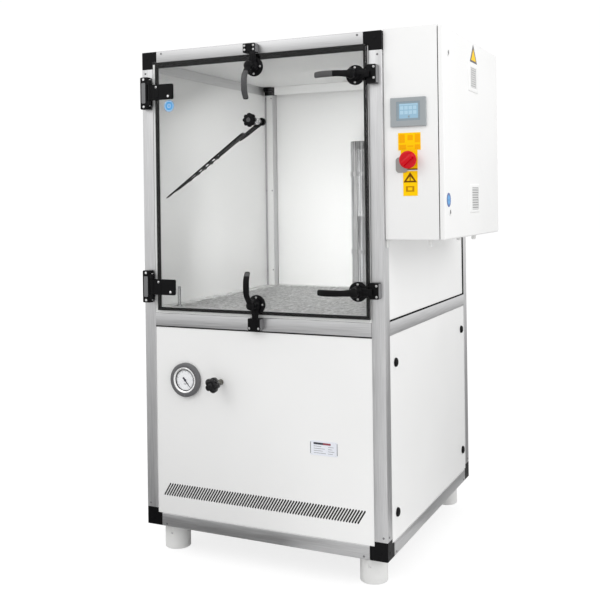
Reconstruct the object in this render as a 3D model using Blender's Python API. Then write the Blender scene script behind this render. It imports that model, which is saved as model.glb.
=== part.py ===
"""A free-standing dust test chamber: an aluminium-profile cabinet with a glass door, a hand-turned
wiper, a perforated floor over a dust hopper, and an electrical enclosure on its right side.

Everything is modelled from the frame's front left bottom corner: +X right, +Y back, +Z up, in
metres. One empty, "placing", then moves it all so that the origin is on the floor, under the
middle of the object's box.
"""

import math

import bmesh
import bpy
from mathutils import Matrix, Vector

# Driving dimensions, in metres.
WIDTH = 1.000
DEPTH = 1.080
HEIGHT = 1.850
PROFILE = 0.050
CONNECTOR = 0.068
FOOT_HEIGHT = 0.102
FOOT_RADIUS = 0.050
FOOT_INSET = 0.085
MID_LOW = 0.780
MID_HIGH = MID_LOW + PROFILE
GAP = 0.0003
PANEL = 0.003

# Door.
SEAL_LEFT = 0.066
SEAL_RIGHT = 0.947
SEAL_LOW = 0.842
SEAL_HIGH = 1.795
SEAL_WIDTH = 0.012
SEAL_FRONT = -0.012
LIP_FRONT = 0.001
LIP_BACK = 0.004
GLASS_LEFT = 0.063
GLASS_RIGHT = 0.950
GLASS_LOW = 0.834
GLASS_HIGH = 1.806
GLASS_FRONT = -0.0225
GLASS_BACK = SEAL_FRONT - GAP
PIN_X = 0.055
PIN_Y = -0.028
PIN_RADIUS = 0.0075
HINGES = {"lower": 0.934, "upper": 1.687}

# Latches: disc centre, the way the lever points and the way to the keeper, all in the door's plane.
LATCH_ON_DOOR = GLASS_FRONT - GAP
LATCH_DISC_RADIUS = 0.035
LATCHES = {
    "top": ((0.514, 1.754), (0, -1), (0, 1)),
    "bottom": ((0.511, 0.882), (0, 1), (0, -1)),
    "lower_right": ((0.912, 0.941), (-1, 0), (1, 0)),
    "upper_right": ((0.912, 1.696), (-1, 0), (1, 0)),
}
LEVER_LENGTH = 0.121
KEEPERS = {
    "top": (0.4675, 0.519, 1.8085, 1.843),
    "bottom": (0.473, 0.5245, 0.784, 0.8295),
    "lower_right": (0.9525, 0.989, 0.916, 0.973),
    "upper_right": (0.9525, 0.989, 1.664, 1.730),
}

# Wiper.
WIPER_X = 0.510
WIPER_Z = 1.557
WIPER_SLOPE = math.radians(35.1)
WIPER_REACH = 0.485
SHAFT_RADIUS = 0.006

# Lower cabinet.
GAUGE_X = 0.187
GAUGE_Z = 0.578
GAUGE_RADIUS = 0.065
VALVE_X = 0.340
VALVE_Z = 0.580
VALVE_FRONT = -0.078
SLOT_COUNT = 70
SLOT_FIRST_X = 0.093
SLOT_LAST_X = 0.902
SLOT_LOW = 0.122
SLOT_HIGH = 0.166
SLOT_LEAN = 0.024
SLOT_WIDTH = 0.0042

# Chamber and lower machinery.
FLOOR_TOP = 0.842
FLOOR_THICK = 0.006
DUCT_X = 0.545
DUCT_Y = 0.965
DUCT_RADIUS = 0.054
DUCT_TOP = 1.530
DUCT_WALL = 0.003
HOPPER_TOP = 0.776
HOPPER_LOW = 0.430
HOPPER_WALL = 0.003
BLOWER_Y = 0.560
BLOWER_Z = 0.270
BLOWER_RADIUS = 0.150
WHEEL_RADIUS = 0.110

# Electrical enclosure.
BOX_LEFT = WIDTH + 0.001
BOX_RIGHT = 1.194
BOX_FRONT = 0.015
BOX_BACK = 0.797
BOX_LOW = 1.121
BOX_HIGH = 1.857
BOX_WALL = 0.003
DOOR_LEFT = 1.1975
DOOR_RIGHT = 1.2155
DOOR_HIGH = 1.852
DOOR_PIVOT = (1.2065, 0.791)
SWITCH_X = 1.0965
SWITCH_Z = 1.3955
SWITCH_RADIUS = 0.0305

LEVER_FRONT = -0.112
ORIGIN_X = DOOR_RIGHT / 2
ORIGIN_Y = (DEPTH + LEVER_FRONT) / 2

MATERIALS = {
    "satin_aluminium": ((0.66, 0.66, 0.67), 0.35, 1.0),
    "white_panel": ((0.90, 0.90, 0.89), 0.40, 0.0),
    "black_plastic": ((0.02, 0.02, 0.022), 0.45, 0.0),
    "black_rubber": ((0.015, 0.015, 0.015), 0.70, 0.0),
    "clear_glass": ((0.92, 0.96, 0.95), 0.03, 0.0),
    "dark_grey_plastic": ((0.09, 0.09, 0.095), 0.40, 0.0),
    "polished_steel": ((0.80, 0.80, 0.80), 0.12, 1.0),
    "floor_steel": ((0.50, 0.50, 0.50), 0.40, 1.0),
    "enclosure_paint": ((0.88, 0.88, 0.87), 0.45, 0.0),
    "grey_panel": ((0.40, 0.45, 0.50), 0.40, 0.0),
    "red_plastic": ((0.72, 0.01, 0.03), 0.35, 0.0),
    "gauge_grey": ((0.42, 0.42, 0.43), 0.35, 0.6),
    "foot_white": ((0.88, 0.88, 0.87), 0.50, 0.0),
}


def clear_scene():
    for obj in list(bpy.data.objects):
        bpy.data.objects.remove(obj)


def make_material(name):
    colour, roughness, metallic = MATERIALS[name]
    material = bpy.data.materials.new(name)
    material.use_nodes = True
    shader = material.node_tree.nodes["Principled BSDF"]
    shader.inputs["Base Color"].default_value = (*colour, 1.0)
    shader.inputs["Roughness"].default_value = roughness
    shader.inputs["Metallic"].default_value = metallic
    if name == "clear_glass":
        shader.inputs["Transmission Weight"].default_value = 1.0
    return material


clear_scene()
materials = {name: make_material(name) for name in MATERIALS}
placing = bpy.data.objects.new("placing", None)
placing.location = (-ORIGIN_X, -ORIGIN_Y, FOOT_HEIGHT)
bpy.context.scene.collection.objects.link(placing)


def add_object(name, shape, material, pivot=(0, 0, 0)):
    """One object from a bmesh in frame coordinates, with its origin at the pivot."""
    bmesh.ops.recalc_face_normals(shape, faces=shape.faces)
    bmesh.ops.translate(shape, verts=shape.verts, vec=-Vector(pivot))
    data = bpy.data.meshes.new(name)
    shape.to_mesh(data)
    shape.free()
    data.materials.append(materials[material])
    obj = bpy.data.objects.new(name, data)
    obj.location = pivot
    obj.parent = placing
    bpy.context.scene.collection.objects.link(obj)
    return obj


def block_shape(low, high):
    shape = bmesh.new()
    size = [high[i] - low[i] for i in range(3)]
    middle = [(high[i] + low[i]) / 2 for i in range(3)]
    place = Matrix.Translation(middle) @ Matrix.Diagonal((*size, 1.0))
    bmesh.ops.create_cube(shape, size=1.0, matrix=place)
    return shape


def block(name, low, high, material, bevel=0.0, pivot=(0, 0, 0)):
    obj = add_object(name, block_shape(low, high), material, pivot)
    if bevel:
        rounding = obj.modifiers.new("rounded edges", "BEVEL")
        rounding.width = bevel
        rounding.segments = 2
    return obj


def extruded_shape(outline, y_front, y_back):
    """A closed outline of (x, z) points, extruded along Y."""
    shape = bmesh.new()
    points = [shape.verts.new((x, y_front, z)) for x, z in outline]
    front = shape.faces.new(points)
    grown = bmesh.ops.extrude_face_region(shape, geom=[front])["geom"]
    moved = [item for item in grown if isinstance(item, bmesh.types.BMVert)]
    bmesh.ops.translate(shape, verts=moved, vec=(0, y_back - y_front, 0))
    return shape


def turned_shape(profile, steps=32, closed=False):
    """A profile of (radius, y) points turned about the Y axis. A closed profile is a ring's section."""
    shape = bmesh.new()
    rings = []
    for radius, y in profile:
        if radius == 0:
            rings.append([shape.verts.new((0, y, 0))])
            continue
        turns = [2 * math.pi * step / steps for step in range(steps)]
        ring = [shape.verts.new((radius * math.cos(a), y, radius * math.sin(a))) for a in turns]
        rings.append(ring)
    pairs = list(zip(rings, rings[1:]))
    if closed:
        pairs.append((rings[-1], rings[0]))
    for first, second in pairs:
        for step in range(steps):
            after = (step + 1) % steps
            corners = [first[step % len(first)], first[after % len(first)]]
            corners += [second[after % len(second)], second[step % len(second)]]
            shape.faces.new(list(dict.fromkeys(corners)))
    return shape


def turned(name, profile, material, centre, steps=32, closed=False, upright=False):
    """A turned object about the Y axis through its centre, or about Z if upright."""
    shape = turned_shape(profile, steps, closed)
    if upright:
        bmesh.ops.rotate(shape, verts=shape.verts, matrix=Matrix.Rotation(math.pi / 2, 3, "X"))
    bmesh.ops.translate(shape, verts=shape.verts, vec=centre)
    obj = add_object(name, shape, material, centre)
    smooth(obj)
    return obj


def smooth(obj):
    obj.data.shade_smooth()
    obj.data.set_sharp_from_angle(angle=math.radians(35))


def combine(obj, other, operation="DIFFERENCE"):
    """Cuts the other shape from the object, or joins it on, and hides the other one."""
    other.hide_render = True
    other.display_type = "WIRE"
    step = obj.modifiers.new(other.name, "BOOLEAN")
    step.operation = operation
    step.object = other
    step.solver = "EXACT"
    return obj


def helper_block(name, low, high):
    return block(name, low, high, "black_plastic")


def helper_turned(name, radius, y_front, y_back, centre, steps=32):
    profile = [(0, y_front), (radius, y_front), (radius, y_back), (0, y_back)]
    return turned(name, profile, "black_plastic", centre, steps)


def ring_of_rectangles(name, sections, material, upright=False):
    """A closed ring whose section's corners are rectangles (x low, x high, other low, other high, depth)."""
    shape = bmesh.new()
    loops = []
    for x_low, x_high, low, high, depth in sections:
        corners = [(x_low, low), (x_high, low), (x_high, high), (x_low, high)]
        if upright:
            loops.append([shape.verts.new((x, other, depth)) for x, other in corners])
        else:
            loops.append([shape.verts.new((x, depth, other)) for x, other in corners])
    for first, second in zip(loops, loops[1:] + loops[:1]):
        for corner in range(4):
            after = (corner + 1) % 4
            shape.faces.new([first[corner], first[after], second[after], second[corner]])
    return add_object(name, shape, material)


def connector_shape(corner):
    """A profile-sized cube in one corner of the frame, with a collar towards each neighbour."""
    limits = (WIDTH, DEPTH, HEIGHT)
    low = [0 if side == 0 else limit - PROFILE for side, limit in zip(corner, limits)]
    high = [value + PROFILE for value in low]
    shape = block_shape(low, high)
    for axis in range(3):
        sign = 1 if corner[axis] == 0 else -1
        push = Vector([sign if i == axis else 0 for i in range(3)])
        shape.faces.ensure_lookup_table()
        shape.normal_update()
        face = max(shape.faces, key=lambda f: (round(f.normal.dot(push), 3), f.calc_area()))
        grown = bmesh.ops.extrude_discrete_faces(shape, faces=[face])["faces"]
        bmesh.ops.translate(shape, verts=grown[0].verts, vec=push * (CONNECTOR - PROFILE))
    return shape


def build_connectors():
    for level, z in (("bottom", 0), ("top", 1)):
        for side, x in (("left", 0), ("right", 1)):
            shape = connector_shape((x, 0, z))
            add_object(f"connector_{level}_{side}", shape, "black_plastic")


def build_columns():
    for side, x in (("left", 0), ("right", WIDTH - PROFILE)):
        for place, y in (("front", 0), ("rear", DEPTH - PROFILE)):
            low = (x, y, CONNECTOR + GAP)
            high = (x + PROFILE, y + PROFILE, HEIGHT - CONNECTOR - GAP)
            block(f"column_{place}_{side}", low, high, "satin_aluminium")


def build_rails():
    start = CONNECTOR + GAP
    for level, z in (("bottom", 0), ("top", HEIGHT - PROFILE)):
        low = (start, 0, z)
        high = (WIDTH - start, PROFILE, z + PROFILE)
        block(f"{level}_rail_front", low, high, "satin_aluminium")
        for side, x in (("left", 0), ("right", WIDTH - PROFILE)):
            low = (x, start, z)
            high = (x + PROFILE, DEPTH - start, z + PROFILE)
            block(f"{level}_rail_{side}", low, high, "satin_aluminium")
        build_rear_rail(level, z)
    low = (PROFILE + GAP, 0, MID_LOW)
    block("mid_rail_front", low, (WIDTH - PROFILE - GAP, PROFILE, MID_HIGH), "satin_aluminium")
    low = (WIDTH - PROFILE, PROFILE + GAP, MID_LOW)
    high = (WIDTH, DEPTH - PROFILE - GAP, MID_HIGH)
    block("mid_rail_right", low, high, "satin_aluminium")


def build_rear_rail(level, z):
    """The rear rail with the connectors at its two ends as one pressed-together piece."""
    low = (PROFILE / 2, DEPTH - PROFILE, z)
    rail = block(f"{level}_rail_rear", low, (WIDTH - PROFILE / 2, DEPTH, z + PROFILE), "satin_aluminium")
    for side in (0, 1):
        shape = connector_shape((side, 1, 0 if level == "bottom" else 1))
        end = add_object(f"rear_{level}_end_{side}", shape, "black_plastic")
        combine(rail, end, "UNION")


def build_panels():
    inner = PROFILE + GAP
    right = WIDTH - inner
    back = DEPTH - inner
    top = HEIGHT - inner
    recess = 0.002
    low = (inner, recess, inner)
    front = block("front_lower_panel", low, (right, recess + PANEL, MID_LOW - GAP), "white_panel")
    combine(front, slot_cutter(recess))
    side = WIDTH - recess
    low = (side - PANEL, inner, inner)
    block("right_lower_panel", low, (side, back, MID_LOW - GAP), "white_panel")
    low = (side - PANEL, inner, MID_HIGH + GAP)
    block("right_upper_panel", low, (side, back, top), "white_panel")
    block("left_panel", (recess, inner, inner), (recess + PANEL, back, top), "white_panel")
    rear = DEPTH - recess
    block("rear_panel", (inner, rear - PANEL, inner), (right, rear, top), "white_panel")
    roof_low = (inner, inner, HEIGHT - 0.019)
    block("roof_panel", roof_low, (right, back, HEIGHT - recess), "white_panel")


def slot_cutter(panel_front):
    """The row of leaning slots, as one cutter."""
    shape = bmesh.new()
    step = (SLOT_LAST_X - SLOT_FIRST_X) / (SLOT_COUNT - 1)
    for number in range(SLOT_COUNT):
        middle = SLOT_FIRST_X + number * step
        low = middle - SLOT_LEAN / 2
        high = middle + SLOT_LEAN / 2
        half = SLOT_WIDTH / 2
        outline = [(low - half, SLOT_LOW), (low + half, SLOT_LOW)]
        outline += [(high + half, SLOT_HIGH), (high - half, SLOT_HIGH)]
        one = extruded_shape(outline, panel_front - 0.01, panel_front + PANEL + 0.01)
        bmesh.ops.recalc_face_normals(one, faces=one.faces)
        piece = bpy.data.meshes.new("slot")
        one.to_mesh(piece)
        one.free()
        shape.from_mesh(piece)
        bpy.data.meshes.remove(piece)
    return add_object("slot_row", shape, "black_plastic")


def build_feet():
    edge = 0.003
    profile = [(0, -FOOT_HEIGHT), (FOOT_RADIUS - edge, -FOOT_HEIGHT)]
    profile += [(FOOT_RADIUS, -FOOT_HEIGHT + edge), (FOOT_RADIUS, -GAP), (0, -GAP)]
    # A turned profile runs along Y and is then stood up, which turns +Y into +Z.
    for side, x in (("left", FOOT_INSET), ("right", WIDTH - FOOT_INSET)):
        for place, y in (("front", FOOT_INSET), ("rear", DEPTH - FOOT_INSET)):
            turned(f"foot_{place}_{side}", profile, "foot_white", (x, y, 0), upright=True)


def build_seal():
    """The rubber seal and the sheet lip that carries it, as one ring round the door opening."""
    inner = PROFILE + GAP
    outer = (inner, WIDTH - inner, MID_HIGH + GAP, HEIGHT - inner)
    seal = (SEAL_LEFT, SEAL_RIGHT, SEAL_LOW, SEAL_HIGH)
    width = SEAL_WIDTH
    opening = (SEAL_LEFT + width, SEAL_RIGHT - width, SEAL_LOW + width, SEAL_HIGH - width)
    sections = [(*outer, LIP_BACK), (*outer, LIP_FRONT), (*seal, LIP_FRONT)]
    sections += [(*seal, SEAL_FRONT), (*opening, SEAL_FRONT), (*opening, LIP_BACK)]
    ring_of_rectangles("door_seal", sections, "black_rubber")


def build_door_glass():
    low = (GLASS_LEFT, GLASS_FRONT, GLASS_LOW)
    glass = block("door_glass", low, (GLASS_RIGHT, GLASS_BACK, GLASS_HIGH), "clear_glass")
    radius = SHAFT_RADIUS + 0.0005
    hole = helper_turned("shaft_hole", radius, -0.05, 0.02, (WIPER_X, 0, WIPER_Z), steps=24)
    combine(glass, hole)


def build_hinge(level, middle):
    """The half on the column carries the pin's two lugs. The half on the glass turns between them."""
    bar_low = (0.007, -0.030, middle - 0.0625)
    bar = block(f"hinge_frame_{level}", bar_low, (0.045, -GAP, middle + 0.0625), "black_plastic")
    leaf_half = 0.030
    lug_gap = 0.001
    lug_length = 0.020
    for place, side in (("under", -1), ("over", 1)):
        ends = sorted((middle + side * (leaf_half + lug_gap), middle + side * (leaf_half + lug_length)))
        low = (0.040, PIN_Y - PIN_RADIUS / 2, ends[0])
        lug = helper_block(f"lug_{level}_{place}", low, (PIN_X, PIN_Y + PIN_RADIUS / 2, ends[1]))
        half = (ends[1] - ends[0]) / 2
        profile = [(0, -half), (PIN_RADIUS, -half), (PIN_RADIUS, half), (0, half)]
        centre = (PIN_X, PIN_Y, sum(ends) / 2)
        eye = turned(f"eye_{level}_{place}", profile, "black_plastic", centre, 16, upright=True)
        combine(bar, lug, "UNION")
        combine(bar, eye, "UNION")
    plate_low = (PIN_X + 0.009, GLASS_FRONT - 0.010, middle - leaf_half)
    plate_high = (0.161, GLASS_FRONT - GAP, middle + leaf_half)
    leaf = block(f"hinge_leaf_{level}", plate_low, plate_high, "black_plastic")
    arm_low = (PIN_X, PIN_Y - PIN_RADIUS / 2, middle - leaf_half)
    arm_high = (PIN_X + 0.012, PIN_Y + PIN_RADIUS / 2, middle + leaf_half)
    arm = helper_block(f"leaf_arm_{level}", arm_low, arm_high)
    profile = [(0, -leaf_half), (PIN_RADIUS, -leaf_half), (PIN_RADIUS, leaf_half), (0, leaf_half)]
    centre = (PIN_X, PIN_Y, middle)
    eye = turned(f"leaf_eye_{level}", profile, "black_plastic", centre, 16, upright=True)
    combine(leaf, arm, "UNION")
    combine(leaf, eye, "UNION")


def swept_lever(name, path, half_width, half_thickness, across, material, pivot):
    """A flat lever along a path in the door's plane. Path points are (along x, y, z) middles."""
    shape = bmesh.new()
    rings = []
    for point in path:
        ring = []
        for side, depth in ((-1, -1), (1, -1), (1, 1), (-1, 1)):
            width = side * half_width
            offset = Vector((across[0] * width, depth * half_thickness, across[1] * width))
            ring.append(shape.verts.new(Vector(point) + offset))
        rings.append(ring)
    for first, second in zip(rings, rings[1:]):
        for corner in range(4):
            after = (corner + 1) % 4
            shape.faces.new([first[corner], first[after], second[after], second[corner]])
    shape.faces.new(rings[0])
    shape.faces.new(rings[-1])
    return add_object(name, shape, material, pivot)


def build_latch(name, middle, lever_way, keeper_way):
    """A disc on the glass, and a handle whose lever stands off it and whose tongue laps the keeper."""
    x, z = middle
    pivot = (x, 0, z)
    back = LATCH_ON_DOOR
    disc_front = back - 0.008
    profile = [(0, back), (LATCH_DISC_RADIUS, back), (LATCH_DISC_RADIUS, disc_front + 0.002)]
    profile += [(LATCH_DISC_RADIUS - 0.002, disc_front), (0, disc_front)]
    turned(f"latch_base_{name}", profile, "black_plastic", pivot)
    hub_back = disc_front - GAP
    boss_front = -0.082
    profile = [(0, hub_back), (0.021, hub_back), (0.021, hub_back - 0.012), (0.015, hub_back - 0.020)]
    profile += [(0.017, boss_front + 0.003), (0.014, boss_front), (0, boss_front)]
    handle = turned(f"latch_handle_{name}", profile, "dark_grey_plastic", pivot, steps=24)
    across = (lever_way[1], lever_way[0])
    path = []
    for reach, depth in ((0.0, -0.074), (0.018, -0.076), (0.045, -0.096), (0.085, -0.106), (LEVER_LENGTH, -0.098)):
        path.append((x + lever_way[0] * reach, depth, z + lever_way[1] * reach))
    lever = swept_lever(f"lever_{name}", path, 0.0105, 0.006, across, "black_plastic", pivot)
    tongue_path = []
    for reach in (0.0, 0.056):
        tongue_path.append((x + keeper_way[0] * reach, -0.039, z + keeper_way[1] * reach))
    tongue = swept_lever(f"tongue_{name}", tongue_path, 0.013, 0.004, across, "black_plastic", pivot)
    combine(handle, lever, "UNION")
    combine(handle, tongue, "UNION")


def build_keepers():
    for name, (x_low, x_high, z_low, z_high) in KEEPERS.items():
        low = (x_low, -0.030, z_low)
        block(f"keeper_{name}", low, (x_high, -GAP, z_high), "black_plastic")


def lobed_outline(lobes, radius, dip, centre, steps=8):
    """The outline of a star knob: a circle whose radius dips between its lobes."""
    points = []
    for step in range(lobes * steps):
        angle = 2 * math.pi * step / (lobes * steps)
        reach = radius - dip * (1 - math.cos(lobes * angle)) / 2
        points.append((centre[0] + reach * math.cos(angle), centre[1] + reach * math.sin(angle)))
    return points


def build_wiper():
    centre = (WIPER_X, 0, WIPER_Z)
    outline = lobed_outline(8, 0.026, 0.006, (WIPER_X, WIPER_Z), steps=6)
    knob = add_object("wiper_knob", extruded_shape(outline, -0.070, -0.050), "black_plastic", centre)
    shaft = helper_turned("shaft", SHAFT_RADIUS, -0.055, 0.030, centre, steps=16)
    combine(knob, shaft, "UNION")
    along = Vector((-math.cos(WIPER_SLOPE), 0, -math.sin(WIPER_SLOPE)))
    across = Vector((along.z, 0, -along.x))
    hub = [(0, 0.0303), (0.015, 0.0303), (0.015, 0.045), (0, 0.045)]
    arm = turned("wiper_arm", hub, "black_plastic", centre, steps=24)
    bar = bar_along("arm_bar", centre, along, across, (0.0, 0.110), (0.032, 0.041), 0.009)
    blade = bar_along("blade", centre, along, across, (0.085, WIPER_REACH), (-0.0118, 0.038), 0.004)
    combine(arm, bar, "UNION")
    combine(arm, blade, "UNION")


def bar_along(name, centre, along, across, reach, depth, half):
    """A straight bar in the door's plane, from one reach to another out from the centre."""
    outline = []
    for distance, side in ((reach[0], -1), (reach[1], -1), (reach[1], 1), (reach[0], 1)):
        point = Vector(centre) + along * distance + across * side * half
        outline.append((point.x, point.z))
    return add_object(name, extruded_shape(outline, *depth), "black_plastic", centre)


def build_chamber():
    inner = PROFILE + GAP
    low = (inner, inner, FLOOR_TOP - FLOOR_THICK)
    block("chamber_floor", low, (WIDTH - inner, DEPTH - inner, FLOOR_TOP), "floor_steel")
    duct_low = FLOOR_TOP + GAP
    inside = DUCT_RADIUS - DUCT_WALL
    profile = [(DUCT_RADIUS, duct_low), (DUCT_RADIUS, DUCT_TOP), (inside, DUCT_TOP), (inside, duct_low)]
    centre = (DUCT_X, DUCT_Y, 0)
    turned("air_duct", profile, "polished_steel", centre, closed=True, upright=True)
    wide = 0.060
    narrow = 0.350
    sections = []
    for margin, z, wall in ((wide, HOPPER_TOP, 0), (narrow, HOPPER_LOW, 0), (narrow, HOPPER_LOW, 1), (wide, HOPPER_TOP, 1)):
        inset = margin + wall * HOPPER_WALL
        sections.append((inset, WIDTH - inset, inset, DEPTH - inset, z))
    ring_of_rectangles("dust_hopper", sections, "polished_steel", upright=True)


def build_blower():
    centre = (WIDTH / 2, BLOWER_Y, BLOWER_Z)
    half = 0.090
    wall = 0.004
    inside = BLOWER_RADIUS - wall
    profile = [(0, half), (BLOWER_RADIUS, half), (BLOWER_RADIUS, -half), (inside, -half)]
    profile += [(inside, half - wall), (0, half - wall)]
    case = turned("circulation_blower", profile, "gauge_grey", centre, steps=32)
    beam_low = (0.030, BLOWER_Y - 0.080, PROFILE + GAP)
    beam = helper_block("beam", beam_low, (WIDTH - 0.030, BLOWER_Y + 0.080, PROFILE + 0.006))
    pedestal_low = (WIDTH / 2 - 0.060, BLOWER_Y - 0.080, PROFILE + 0.003)
    pedestal_high = (WIDTH / 2 + 0.060, BLOWER_Y + 0.080, BLOWER_Z - inside + 0.012)
    pedestal = helper_block("pedestal", pedestal_low, pedestal_high)
    bore = helper_turned("drum_bore", inside, -half - 0.02, half - wall, centre, steps=32)
    combine(case, beam, "UNION")
    combine(case, pedestal, "UNION")
    combine(case, bore)
    hub = 0.022
    wheel = [(0, 0.070), (WHEEL_RADIUS, 0.070), (WHEEL_RADIUS, -0.050), (WHEEL_RADIUS - 0.004, -0.050)]
    wheel += [(WHEEL_RADIUS - 0.004, 0.066), (hub, 0.066), (hub, 0.020), (0, 0.020)]
    turned("blower_wheel", wheel, "gauge_grey", centre, steps=32)


def build_enclosure():
    low = Vector((BOX_LEFT, BOX_FRONT, BOX_LOW))
    high = Vector((BOX_RIGHT, BOX_BACK, BOX_HIGH))
    box = block("enclosure_box", low, high, "enclosure_paint")
    wall = Vector((BOX_WALL, BOX_WALL, BOX_WALL))
    inside = helper_block("enclosure_inside", low + wall, high - wall + Vector((0.02, 0, 0)))
    combine(box, inside)
    door_low = (DOOR_LEFT, BOX_FRONT, BOX_LOW)
    door_high = (DOOR_RIGHT, BOX_BACK, DOOR_HIGH)
    pivot = (*DOOR_PIVOT, 0)
    block("enclosure_door", door_low, door_high, "enclosure_paint", pivot=pivot)
    panel_front = BOX_FRONT - 0.009
    low = (1.027, panel_front, 1.511)
    block("touch_panel", low, (1.154, BOX_FRONT - GAP, 1.611), "grey_panel", bevel=0.002)
    build_main_switch()


def build_main_switch():
    centre = (SWITCH_X, 0, SWITCH_Z)
    back = 0.010
    disc_back = -0.014
    disc_front = -0.024
    front = -0.036
    collar = 0.021
    profile = [(0, back), (collar, back), (collar, disc_back), (SWITCH_RADIUS, disc_back)]
    profile += [(SWITCH_RADIUS, disc_front), (0, disc_front)]
    knob = turned("main_switch_knob", profile, "red_plastic", centre)
    grip_low = (SWITCH_X - 0.0085, front, SWITCH_Z - 0.026)
    grip = helper_block("grip", grip_low, (SWITCH_X + 0.0085, disc_front + 0.004, SWITCH_Z + 0.026))
    combine(knob, grip, "UNION")


def build_gauge_and_valve():
    seat = 0.002 - GAP
    centre = (GAUGE_X, 0, GAUGE_Z)
    bezel = 0.046
    dial = 0.043
    profile = [(0, seat), (GAUGE_RADIUS, seat), (GAUGE_RADIUS, -0.004), (bezel + 0.006, -0.006)]
    profile += [(bezel + 0.004, -0.016), (dial, -0.016), (dial, -0.008), (0, -0.008)]
    turned("pressure_gauge", profile, "gauge_grey", centre, steps=40)
    pointer = math.radians(-50)
    way = Vector((math.cos(pointer), math.sin(pointer)))
    side = Vector((-way.y, way.x))
    outline = []
    for reach, offset in ((-0.012, 0.002), (0.0, 0.0035), (0.033, 0.0007), (0.033, -0.0007), (0.0, -0.0035), (-0.012, -0.002)):
        point = Vector((GAUGE_X, GAUGE_Z)) + way * reach + side * offset
        outline.append((point.x, point.y))
    add_object("gauge_pointer", extruded_shape(outline, -0.0125, -0.0105), "black_plastic", centre)
    centre = (VALVE_X, 0, VALVE_Z)
    outline = lobed_outline(5, 0.030, 0.007, (VALVE_X, VALVE_Z))
    knob = add_object("valve_knob", extruded_shape(outline, VALVE_FRONT, -0.046), "black_plastic", centre)
    stem = helper_turned("stem", 0.0115, -0.050, seat, centre, steps=24)
    combine(knob, stem, "UNION")


build_connectors()
build_columns()
build_rails()
build_panels()
build_feet()
build_seal()
build_door_glass()
for hinge_level, hinge_middle in HINGES.items():
    build_hinge(hinge_level, hinge_middle)
for latch_name, latch in LATCHES.items():
    build_latch(latch_name, *latch)
build_keepers()
build_wiper()
build_chamber()
build_blower()
build_enclosure()
build_gauge_and_valve()
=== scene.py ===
"""The looks of the dust test chamber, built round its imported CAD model.

Positions are given from the frame's front left bottom corner: +X right, +Y back, +Z up, in metres.
here() turns them into the row frame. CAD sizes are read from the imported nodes.
"""

import math

import bmesh
import bpy
from mathutils import Matrix, Vector


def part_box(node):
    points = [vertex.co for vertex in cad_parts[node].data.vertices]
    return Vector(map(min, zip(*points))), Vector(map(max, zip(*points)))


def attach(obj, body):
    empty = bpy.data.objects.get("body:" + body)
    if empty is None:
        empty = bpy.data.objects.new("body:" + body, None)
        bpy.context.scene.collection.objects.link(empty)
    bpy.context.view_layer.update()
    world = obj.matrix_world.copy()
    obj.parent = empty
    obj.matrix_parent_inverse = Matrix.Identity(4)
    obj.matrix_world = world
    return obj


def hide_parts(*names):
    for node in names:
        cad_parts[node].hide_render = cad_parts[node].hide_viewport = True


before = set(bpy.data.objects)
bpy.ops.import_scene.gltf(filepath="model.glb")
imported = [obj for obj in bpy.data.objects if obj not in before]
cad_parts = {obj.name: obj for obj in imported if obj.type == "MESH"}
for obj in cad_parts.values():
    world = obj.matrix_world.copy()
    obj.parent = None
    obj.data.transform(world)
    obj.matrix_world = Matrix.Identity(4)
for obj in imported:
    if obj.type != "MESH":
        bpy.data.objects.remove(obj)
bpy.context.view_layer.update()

CORNER = Vector(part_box("connector_bottom_left")[0])
FAR_CORNER = Vector(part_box("top_rail_rear")[1])
SIZE = FAR_CORNER - CORNER
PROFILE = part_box("column_front_left")[1].x - CORNER.x
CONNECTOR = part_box("connector_bottom_left")[1].x - CORNER.x
MID_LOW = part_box("mid_rail_front")[0].z - CORNER.z
MID_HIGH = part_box("mid_rail_front")[1].z - CORNER.z

X = Vector((1, 0, 0))
Y = Vector((0, 1, 0))
Z = Vector((0, 0, 1))
FORWARD = -Y

# The camera stands where the frame's edges put it, level, a little rolled, and looks down by shift.
CAMERA_PLACE = (2.0833, -2.9671, 1.2648)
CAMERA_YAW = math.radians(25.3058)
CAMERA_ROLL = math.radians(-0.7634)
CAMERA_LENS = 54.45
SENSOR_WIDTH = 36.0
CAMERA_SHIFT = -0.1673


def here(x, y, z):
    return CORNER + Vector((x, y, z))


def local_box(node):
    """A CAD node's box, counted from the frame's corner."""
    low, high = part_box(node)
    return low - CORNER, high - CORNER


# ---------------------------------------------------------------- materials

NOISE_RANGE = (0.3, 0.7)
PATCH_SCALE = 3.0


def new_material(name, colour, roughness, metallic=0.0):
    material = bpy.data.materials.new(name)
    material.use_nodes = True
    shader = material.node_tree.nodes["Principled BSDF"]
    shader.inputs["Base Color"].default_value = (*colour, 1.0)
    shader.inputs["Roughness"].default_value = roughness
    shader.inputs["Metallic"].default_value = metallic
    return material


def add_noise(tree, scale, stretch=(1, 1, 1), detail=3.0):
    """Noise in the object's own coordinates, stretched where a value is under 1."""
    place = tree.nodes.new("ShaderNodeTexCoord")
    mapping = tree.nodes.new("ShaderNodeMapping")
    mapping.inputs["Scale"].default_value = stretch
    noise = tree.nodes.new("ShaderNodeTexNoise")
    noise.inputs["Scale"].default_value = scale
    noise.inputs["Detail"].default_value = detail
    tree.links.new(place.outputs["Object"], mapping.inputs["Vector"])
    tree.links.new(mapping.outputs["Vector"], noise.inputs["Vector"])
    return noise.outputs["Fac"]


def spread(tree, value, low, high):
    """The noise's middle range mapped onto low to high."""
    remap = tree.nodes.new("ShaderNodeMapRange")
    remap.inputs["From Min"].default_value = NOISE_RANGE[0]
    remap.inputs["From Max"].default_value = NOISE_RANGE[1]
    remap.inputs["To Min"].default_value = low
    remap.inputs["To Max"].default_value = high
    tree.links.new(value, remap.inputs["Value"])
    return remap.outputs["Result"]


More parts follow.
